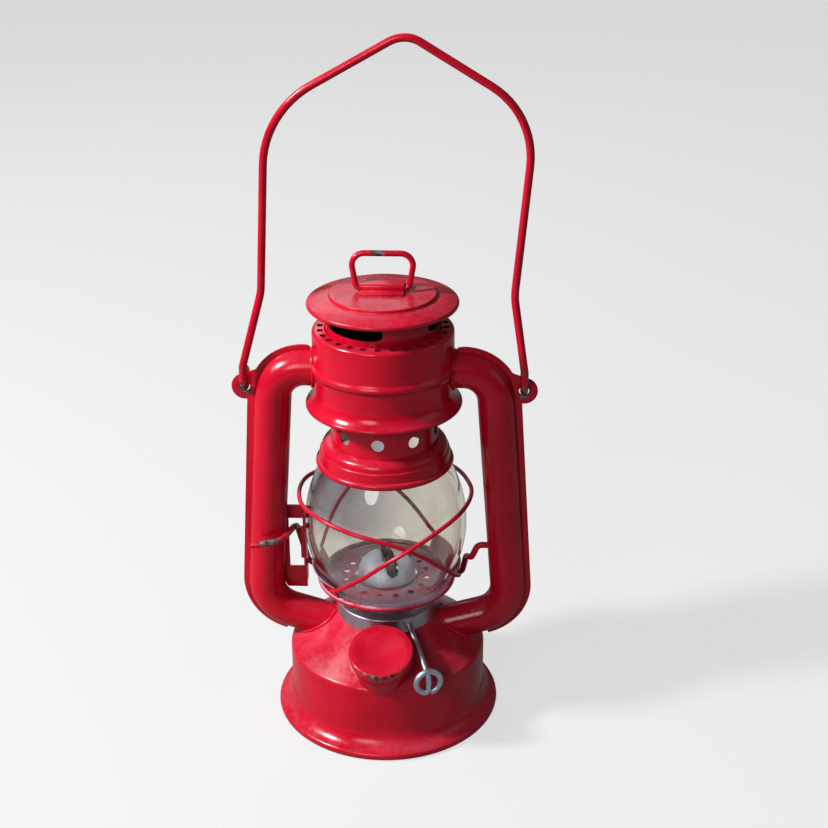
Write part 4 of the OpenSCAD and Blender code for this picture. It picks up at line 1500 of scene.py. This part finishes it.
@dataclass
class Carriage:
    """What the lever lifts: the plate, the globe and the two guard hoops."""

    globe_radius: float = 35.3
    globe_middle: float = 92.0
    globe_foot: float = 64.65
    globe_neck: float = 24.4
    globe_neck_z: float = 126.4
    globe_top: float = 131.4
    lower_round: float = 48.0
    upper_round: float = 58.0
    glass_wall: float = 1.6
    plate_turn: float = 16.5
    flap_half: float = 33.5
    guard_wire: float = 1.9
    guard_radius: float = 37.4
    guard_end_radius: float = 34.05
    guard_low: float = 71.0
    guard_drop: tuple[float, ...] = (35.2, 35.8, 35.9, 34.9, 33.4, 31.3, 27.6, 21.4, 13.2, 5.8, 0.0)
    guard_bow: float = 2.1
    guard_steps: int = 60
    neck_run: float = 2.0
    bow_span: float = 34.0
    close_from: float = 112.0
    close_span: float = 30.0

    def glass_outline(self) -> Outline:
        """The outside of the globe from its foot to its top.

        Returns:
            Points of (radius, height).
        """
        low = math.degrees(math.asin((self.globe_foot - self.globe_middle) / self.lower_round))
        rise = self.globe_neck_z - self.neck_run - self.globe_middle
        high = math.degrees(math.asin(rise / self.upper_round))
        below = arc((self.globe_radius - self.lower_round, self.globe_middle), self.lower_round, low, 0, 18)
        above = arc((self.globe_radius - self.upper_round, self.globe_middle), self.upper_round, 0, high, 18)
        return below + above[1:] + [(self.globe_neck, self.globe_neck_z), (self.globe_neck, self.globe_top)]

    def guard_height(self, share: float) -> float:
        """Height of a hoop at a share of the way from its high side to its end.

        Args:
            share: The share, from 0 to 1.

        Returns:
            The height in millimetres.
        """
        place = share * (len(self.guard_drop) - 1)
        k = min(int(place), len(self.guard_drop) - 2)
        before = self.guard_drop[max(k - 1, 0)] if k else self.guard_drop[1]
        here, there = self.guard_drop[k], self.guard_drop[k + 1]
        after = self.guard_drop[min(k + 2, len(self.guard_drop) - 1)]
        t = place - k
        lift = (there - before) / 2 * (t**3 - 2 * t * t + t) + (after - here) / 2 * (t**3 - t * t)
        return self.guard_low + here + (there - here) * ease(t) + lift

    def guard_path(self, high_side: float, bow: float) -> Path:
        """A guard hoop's axis, high on one side and with its ends on the other side's flap.

        Args:
            high_side: Direction of the high side in degrees.
            bow: How far it bows out where the hoops cross.

        Returns:
            The points along the hoop.
        """
        end = 180 - self.flap_half
        path = []
        for i in range(-self.guard_steps, self.guard_steps + 1):
            a = end * i / self.guard_steps
            wide = abs(a)
            closing = ease((wide - self.close_from) / self.close_span)
            r = self.guard_radius - (self.guard_radius - self.guard_end_radius) * closing
            r += bow * (1 - ease(abs(wide - 90) / self.bow_span))
            spot = polar(r, a + high_side + self.plate_turn)
            path.append(Vector((*spot, self.guard_height(abs(i) / self.guard_steps))))
        return path

    def build(self) -> None:
        """Model the globe and the hoops and dress the plate."""
        glass = Bench.turned("globe", self.glass_outline(), self.glass_wall, FINE_TURN)
        Bench.soften(glass, 0.4, 50.0)
        # The globe's glass carries a painted grey shade near its top and its left side.
        fit(glass, Body.CARRIAGE, ShadeTintedGlass("globe_glass_shade_tinted"), ["globe_glass"])
        for node, high_side, bow in (("left_guard", 180.0, 0.0), ("right_guard", 0.0, self.guard_bow)):
            hoop = Bench.wire(node + "_hoop", self.guard_path(high_side, bow), self.guard_wire)
            Bench.soften(hoop)
            finish = Enamel(node + "_enamel", Slot.WIRE, dust=0.3, grime=0.4, chips=0.25)
            fit(hoop, Body.CARRIAGE, finish, [node])
        # The plate's heavy lilac cover is partly dust and partly a painted reflection of the sky.
        plate_dust_and_reflection = Enamel("plate_dust_and_reflection_enamel", dust=1.9, grime=0.5, dust_colour=(0.42, 0.35, 0.50), dust_cover=0.85)
        dress("globe_plate", plate_dust_and_reflection)


@dataclass
class Lever:
    """The wire that swings on the right tube and lifts the globe."""

    wire: float = 2.8
    pivot: Point = (49.5, 0.0, 80.6)
    yoke_x: float = -3.0
    yoke_radius: float = 27.4
    yoke_from: float = 36.0
    yoke_to: float = 152.0
    yoke_height: float = 61.5
    yoke_fall: float = 0.25

    def path(self) -> Path:
        """The wire's axis from the pivot, round the drum, to the finger end.

        Returns:
            The points along the wire.
        """
        near = route([
            self.pivot, (40.4, 0, self.pivot[2], 3), (37.8, 1, 73.8, 3), (35.2, 7.6, 70.4, 4),
            (33.4, 13.4, 59.5, 5), (29, 16.2, 54.9, 5), (23.6, 16.6, 55),
        ])
        yoke = []
        for x, y in arc((self.yoke_x, 0), self.yoke_radius, self.yoke_from, self.yoke_to, 28):
            yoke.append(Vector((x, y, self.yoke_height - self.yoke_fall * max(0.0, x + 1))))
        far = route([
            (-29.5, 12.6, self.yoke_height), (-36.4, 13.6, self.yoke_height + 0.5, 3.5),
            (-40.6, 9.6, 83, 5), (-41.2, 2, 86.4, 5), (-45, -10.9, 86.4, 6), (-58, -13.5, 85.4),
        ])
        return near + yoke + far

    def build(self) -> None:
        """Model the lever."""
        lever = Bench.wire("lift_wire", self.path(), self.wire)
        Bench.soften(lever, 0.3, 50.0)
        worn = (Worn((-50.0, -11.5, 86.0), 6.0), Worn((-41.5, 2.0, 86.0), 4.0))
        finish = Enamel("lever_enamel", Slot.WIRE, dust=0.2, grime=0.5, chips=0.3, worn=worn)
        fit(lever, Body.LEVER, finish, ["lift_lever"])


@dataclass
class Chimney:
    """The chimney that lifts off the globe: skirt, perforated neck, cap, strap and wire ring."""

    sheet: float = 0.6
    skirt_rim: float = 29.6
    skirt_height: float = 122.8
    skirt_bead: float = 1.5
    skirt_leave: float = 86.0
    skirt_face: tuple[float, float] = (28.1, 126.0)
    skirt_step: tuple[tuple[float, float], ...] = ((27.9, 127.4), (27.8, 128.3), (27.25, 128.5))
    shoulder_knee: float = 26.8
    shoulder_end: float = 23.2
    seat: float = 132.4
    neck_radius: float = 22.8
    step: float = 165.4
    tube_radius: float = 24.0
    tube_top: float = 192.8
    holes: int = 9
    hole_radius: float = 2.7
    hole_height: float = 139.0
    first_hole: float = -93.0
    windows: int = 3
    window_from: float = -156.0
    window_width: float = 70.0
    window_low: float = 185.7
    window_high: float = 191.7
    window_points: int = 32
    window_reach: float = 1.5
    cap_rim: float = 31.5
    cap_height: float = 194.0
    cap_bead: float = 1.2
    cap_leave: float = 68.0
    cap_knee: tuple[float, float] = (26.5, 1.5)
    step_foot: float = 0.3
    step_drop: float = 1.3
    step_rise: float = 0.5
    step_round: float = 0.5
    plateau_radius: float = 22.2
    plateau: float = 198.4
    strap_half: float = 9.0
    strap_fold: float = 2.1
    strap_deep: float = 6.0
    strap_front: float = 5.4
    strap_inward: float = -1.0
    strap_foot: float = 3.0
    strap_toe: float = 0.6
    strap_back_bend: float = 1.2
    strap_front_bend: tuple[float, float] = (1.5, 1.8)
    ring_wire: float = 2.5
    ring_pivot: float = 199.9
    ring_foot: float = 10.8
    ring_top: float = 13.5
    ring_height: float = 14.4
    ring_lean: float = -8.0
    ring_bends: tuple[float, float] = (2.2, 5.0)
    ring_wear: tuple[float, float] = (-2.0, 3.6)

    def skirt_outline(self) -> Outline:
        """The outside of the skirt: its face over the rolled rim, a soft step and the shoulder.

        Returns:
            Points of (radius, height).
        """
        rim = on_rim(self.skirt_rim, self.skirt_height, self.skirt_bead, self.skirt_leave)
        step = curve(*self.skirt_step, 5)
        knee, end = (self.shoulder_knee, self.seat), (self.shoulder_end, self.seat)
        shoulder = curve(self.skirt_step[-1], knee, end, 12)
        return [rim, self.skirt_face] + step + shoulder[1:] + [(self.neck_radius - self.sheet, self.seat)]

    def window_cutter(self, turn: float) -> bpy.types.Object:
        """A cutter with round corners through the chimney wall, from an angle in degrees.

        Args:
            turn: Angle where the window starts.

        Returns:
            The cutter.
        """
        middle = (self.window_low + self.window_high) / 2
        half = (self.window_high - self.window_low) / 2
        inner = self.tube_radius - 3 * self.sheet
        edge = []
        for i in range(self.window_points):
            t = math.tau * (i + 0.5) / self.window_points
            along = math.copysign(math.sqrt(abs(math.cos(t))), math.cos(t))
            high = middle + half * math.copysign(math.sqrt(abs(math.sin(t))), math.sin(t))
            edge.append((*polar(inner, turn + self.window_width / 2 * (1 + along)), high))
        cutter = Bench.line("window", edge + edge[:1])
        Bench.edit_all(cutter)
        bpy.ops.mesh.remove_doubles(threshold=MERGE)
        bpy.ops.mesh.edge_face_add()
        bpy.ops.mesh.extrude_region_move()
        grown = (self.window_reach, self.window_reach, 1.0)
        bpy.ops.transform.resize(value=grown, center_override=(0, 0, middle * MM))
        Bench.tidy(cutter)
        return cutter

    def strap(self) -> None:
        """Model the strap that bridges the ring's foot and is fixed to the cap."""
        low, high = self.plateau + self.sheet, self.ring_pivot + self.strap_fold
        back, front = self.strap_deep, -self.strap_fold
        toe, fold = self.strap_toe, self.strap_back_bend
        run, drop = self.strap_front_bend
        line = [(back + self.strap_foot, low)]
        line += curve((back + toe, low), (back, low), (back, low + toe), 3)
        line += curve((back, high - fold), (back, high), (back - fold, high), 6)
        line += curve((front + run, high), (front, high), (front, high - drop), 8)
        line += curve((front, low + toe), (front, low), (front - toe, low), 3) + [(-self.strap_front, low)]
        strap = Bench.line("ring_strap", [(-self.strap_half, y, z) for y, z in line])
        Bench.edit_all(strap)
        across = Vector((2 * self.strap_half * MM, 0, 0))
        bpy.ops.mesh.extrude_region_move(TRANSFORM_OT_translate={"value": across})
        Bench.tidy(strap)
        Bench.modify(strap, "SOLIDIFY", thickness=self.sheet * MM, offset=self.strap_inward)
        Bench.soften(strap, 0.12)
        fit(strap, Body.CHIMNEY, Enamel("strap_enamel", dust=0.4, grime=0.3, chips=0.15), ["cap_strap"])

    def build(self) -> None:
        """Model the skirt, the chimney, the cap, its strap and its ring."""
        skirt = Bench.turned("skirt_sheet", self.skirt_outline(), self.sheet)
        rim = Bench.rolled("skirt_rim", self.skirt_rim, self.skirt_height, self.skirt_bead)
        skirt = Bench.join("globe_skirt", [skirt, rim])
        Bench.soften(skirt)
        # The skirt's inward and downward faces get soot together with painted shade.
        finish = Enamel("skirt_enamel", dust=0.35, grime=0.25, chips=0.12, soot_and_shade=0.85)
        fit(skirt, Body.CHIMNEY, finish, ["globe_ring"])
        line = [(self.neck_radius, self.seat), (self.neck_radius, self.step)]
        line += [(self.tube_radius, self.step + 2), (self.tube_radius, self.tube_top)]
        tube = Bench.turned("chimney", line, self.sheet, FINE_TURN)
        cutters = []
        for i in range(self.holes):
            a = self.first_hole + 360 * i / self.holes
            near, far = self.neck_radius - CUT_PAST, self.neck_radius + CUT_PAST
            start, end = ((*polar(r, a), self.hole_height) for r in (near, far))
            cutters.append(Bench.bar(self.hole_radius, start, end))
        for i in range(self.windows):
            cutters.append(self.window_cutter(self.window_from + 360 * i / self.windows))
        Bench.cut(tube, cutters)
        Bench.soften(tube)
        # The chimney's inside turns near-black: soot together with painted shade.
        finish = Enamel("chimney_enamel", dust=0.15, grime=0.4, chips=0.1, soot_and_shade=1.0)
        fit(tube, Body.CHIMNEY, finish, ["chimney_tube"])
        brim = on_rim(self.cap_rim, self.cap_height, self.cap_bead, self.cap_leave)
        wall, top, fold = self.plateau_radius, self.plateau, self.step_round
        low = top - self.step_drop
        foot = (wall + self.step_foot, low)
        cap_line = curve(brim, (self.cap_knee[0], top - self.cap_knee[1]), foot)
        cap_line += curve(foot, (wall, low), (wall, low + self.step_rise), 3)[1:]
        cap_line += curve((wall, top - fold), (wall, top), (wall - fold, top), 4) + [(0.0, top)]
        cap = Bench.turned("cap_sheet", cap_line, self.sheet, FINE_TURN)
        edge = Bench.rolled("cap_edge", self.cap_rim, self.cap_height, self.cap_bead)
        cap = Bench.join("chimney_cap", [cap, edge])
        Bench.soften(cap)
        # The cap's underside turns near-black: soot together with painted shade.
        finish = Enamel("chimney_cap_enamel", dust=0.7, grime=0.5, chips=0.2, soot_and_shade=1.0)
        fit(cap, Body.CHIMNEY, finish, ["cap_disc"])
        self.strap()
        half = route([
            (0, 0, 0),
            (self.ring_foot, 0, 0, self.ring_bends[0]),
            (self.ring_top, 0, self.ring_height, self.ring_bends[1]),
            (0, 0, self.ring_height),
        ])
        other = [Vector((-p.x, p.y, p.z)) for p in half[::-1]]
        ring = Bench.wire("cap_ring", half[:-1] + other[1:], self.ring_wire)
        lean = Matrix.Rotation(math.radians(self.ring_lean), 4, "X")
        lean = Matrix.Translation((0, 0, self.ring_pivot)) @ lean
        Bench.place(ring, lean)
        Bench.soften(ring)
        rubbed_x, reach = self.ring_wear
        worn = (Worn(tuple(lean @ Vector((rubbed_x, 0.0, self.ring_height))), reach),)
        finish = Enamel("ring_enamel", Slot.WIRE, dust=0.3, grime=0.3, chips=0.2, worn=worn)
        fit(ring, Body.RING, finish, ["lift_ring"])


@dataclass
class Bail:
    """The carrying bail: an eye in each ear, upright sides, sloping shoulders and a peak."""

    wire: float = 3.3
    ear_x: float = 58.8
    eye_radius: float = 4.0
    eye_height: float = 159.2
    half_width: float = 52.0
    top: float = 301.0
    lean: float = 0.076
    lean_from: float = 13.0
    eye_from: float = 50.0
    eye_run: float = 6.0
    eye_bend: float = 8.0
    side_rise: float = 38.0
    side_bend: float = 26.0
    shoulder_out: float = 1.0
    shoulder_drop: float = 29.0
    shoulder_bend: float = 36.0
    peak_rise: float = 1.85
    peak_bend: float = 12.0
    worn_at: tuple[tuple[float, float], ...] = ((156.0, 6.0), (166.0, 4.0))
    worn_front: float = -2.0

    def eye(self, side: int) -> Path:
        """The open eye at one end, from its tip to the upright."""
        points = arc((0, self.eye_height), self.eye_radius, self.eye_from, -180, 28)
        return [Vector((side * self.ear_x, y, z)) for y, z in points[:-1]]

    def path(self) -> Path:
        """The wire's axis from eye to eye.

        Returns:
            The points along the wire.
        """
        side = [
            (self.ear_x, -self.eye_radius, self.eye_height),
            (self.ear_x, -self.eye_radius, self.eye_height + self.eye_run, self.eye_bend),
            (self.half_width, 0, self.eye_height + self.side_rise, self.side_bend),
            (self.half_width + self.shoulder_out, 0, self.top - self.shoulder_drop, self.shoulder_bend),
        ]
        left = [(-c[0], *c[1:]) for c in side]
        peak = (0, 0, self.top + self.peak_rise, self.peak_bend)
        bow = route(left + [peak] + side[::-1])
        for p in bow:
            p.x += self.lean * max(0.0, p.z - self.eye_height - self.lean_from)
        return self.eye(-1) + bow + self.eye(1)[::-1]

    def build(self) -> None:
        """Model the bail."""
        bail = Bench.wire("bail", self.path(), self.wire)
        Bench.soften(bail, 0.3, 50.0)
        spots = [(side, *spot) for side in (-1, 1) for spot in self.worn_at]
        worn = tuple(Worn((side * self.ear_x, self.worn_front, z), reach) for side, z, reach in spots)
        finish = Enamel("bail_enamel", Slot.WIRE, dust=0.2, grime=0.3, chips=0.2, worn=worn)
        fit(bail, Body.BAIL, finish, ["bail_handle"])


@dataclass
class Lamp:
    """One soft studio lamp aimed at the lantern.

    Attributes:
        name: Name of the lamp.
        place: Where it stands, in metres.
        size: Diameter of its round face in metres.
        power: Power in watts.
    """

    name: str
    place: Point
    size: float
    power: float

    def build(self, aim: Vector) -> None:
        """Add the lamp, turned towards a point.

        Args:
            aim: The point, in metres.
        """
        Bench.clear()
        bpy.ops.object.light_add(type="AREA", location=self.place)
        lamp = bpy.context.object
        lamp.name = self.name
        lamp.data.shape = "DISK"
        lamp.data.size = self.size
        lamp.data.energy = self.power
        lamp.rotation_euler = (aim - Vector(self.place)).to_track_quat("-Z", "Y").to_euler()


@dataclass
class Studio:
    """The pale floor, the soft lamps and the camera at the photograph's angle."""

    floor_size: float = 12.0
    floor_colour: Colour = (0.80, 0.80, 0.81)
    floor_bounce: Colour = (0.17, 0.17, 0.17)
    backdrop: float = 0.88
    shadow_share: float = 0.25
    sky: float = 0.05
    sky_gloss: float = 0.14
    floor_gloss: float = 0.2
    focal: float = 65.2
    sensor: float = 36.0
    eye: Point = (0.0453, -0.5751, 0.4110)
    pitch: float = 24.908
    roll: float = -0.318
    heading: float = 3.254
    aim: Point = (0.0, 0.0, 0.14)
    clip_start: float = 0.01
    floor_rough: float = 0.9
    floor_grain: Colour = (0.7, 0.7, 0.7)

    def camera(self) -> None:
        """Create the camera and make it the scene's."""
        data = bpy.data.cameras.new("photo_camera")
        data.lens = self.focal
        data.sensor_width = self.sensor
        data.clip_start = self.clip_start
        camera = bpy.data.objects.new("photo_camera", data)
        bpy.context.scene.collection.objects.link(camera)
        heading, pitch = math.radians(self.heading), math.radians(self.pitch)
        level = Vector((math.cos(heading), math.sin(heading), 0.0))
        ahead = Vector((-math.sin(heading), math.cos(heading), 0.0))
        look = ahead * math.cos(pitch) - Vector((0.0, 0.0, math.sin(pitch)))
        roll = Matrix.Rotation(math.radians(-self.roll), 3, look)
        right = roll @ level
        up = right.cross(look)
        turn = Matrix((right, up, -look)).transposed().to_4x4()
        camera.matrix_world = Matrix.Translation(self.eye) @ turn
        bpy.context.scene.camera = camera

    def floor(self) -> None:
        """Add the floor, which the camera sees as a pale even ground with the lantern's shadow."""
        Bench.clear()
        bpy.ops.mesh.primitive_plane_add(size=self.floor_size)
        plane = bpy.context.object
        plane.name = "studio_floor"
        material, w, shader = new_material("floor_paper")
        grain = w.ramp(w.noise(900.0, 2.0), 0.3, 0.7, (0.0, 0.04))
        rays = w.node("ShaderNodeLightPath")
        away = w.math("MAXIMUM", rays.outputs["Is Diffuse Ray"], rays.outputs["Is Glossy Ray"])
        paper = w.mix(grain, self.floor_colour, self.floor_grain)
        w.feed(shader.inputs["Base Color"], w.mix(away, paper, self.floor_bounce))
        shader.inputs["Roughness"].default_value = self.floor_rough
        glow = w.node("ShaderNodeEmission")
        glow.inputs["Strength"].default_value = self.backdrop
        seen = w.math("MAXIMUM", rays.outputs["Is Camera Ray"], rays.outputs["Is Transmission Ray"])
        seen = w.math("MAXIMUM", seen, w.math("MULTIPLY", rays.outputs["Is Glossy Ray"], self.floor_gloss))
        blend = w.node("ShaderNodeMixShader")
        w.feed(blend.inputs[0], w.math("MULTIPLY", seen, 1 - self.shadow_share))
        w.feed(blend.inputs[1], shader.outputs[0])
        w.feed(blend.inputs[2], glow.outputs[0])
        w.feed(material.node_tree.nodes["Material Output"].inputs["Surface"], blend.outputs[0])
        plane.data.materials.append(material)

    def sky_light(self) -> None:
        """A plain white world: pale to the eye, much weaker as a light."""
        world = bpy.data.worlds.new("studio")
        bpy.context.scene.world = world
        world.use_nodes = True
        w = Wiring(world.node_tree)
        rays = w.node("ShaderNodeLightPath")
        seen = w.math("MAXIMUM", rays.outputs["Is Camera Ray"], rays.outputs["Is Transmission Ray"])
        seen = w.math("MAXIMUM", seen, w.math("MULTIPLY", rays.outputs["Is Glossy Ray"], self.sky_gloss))
        strength = w.ramp(seen, 0.0, 1.0, (self.sky, self.backdrop))
        w.feed(world.node_tree.nodes["Background"].inputs["Strength"], strength)
        world.node_tree.nodes["Background"].inputs["Color"].default_value = (1.0, 1.0, 1.0, 1.0)

    def build(self) -> None:
        """Set up the whole studio."""
        bpy.context.scene.view_settings.view_transform = "Standard"
        self.camera()
        self.floor()
        self.sky_light()
        aim = Vector(self.aim)
        for lamp in (
            Lamp("key", (-1.0, -0.35, 1.0), 0.2, 27.0),
            Lamp("front", (-0.4, -1.1, 0.75), 0.5, 4.4),
            Lamp("fill", (0.9, -0.2, 0.55), 0.6, 0.4),
            Lamp("back", (-0.3, 1.0, 0.8), 0.6, 1.5),
        ):
            lamp.build(aim)


def main() -> None:
    """Build the lantern and its studio."""
    logging.basicConfig(level=logging.INFO, format="%(name)s: %(message)s")
    tank = Tank()
    tank.build()
    Filler().build()
    Burner().build(tank.crown())
    AirTube(-1).build(tank)
    AirTube(1).build(tank)
    Canopy().build()
    Carriage().build()
    Lever().build()
    Chimney().build()
    Bail().build()
    Studio().build()


if __name__ == "__main__":
    main()
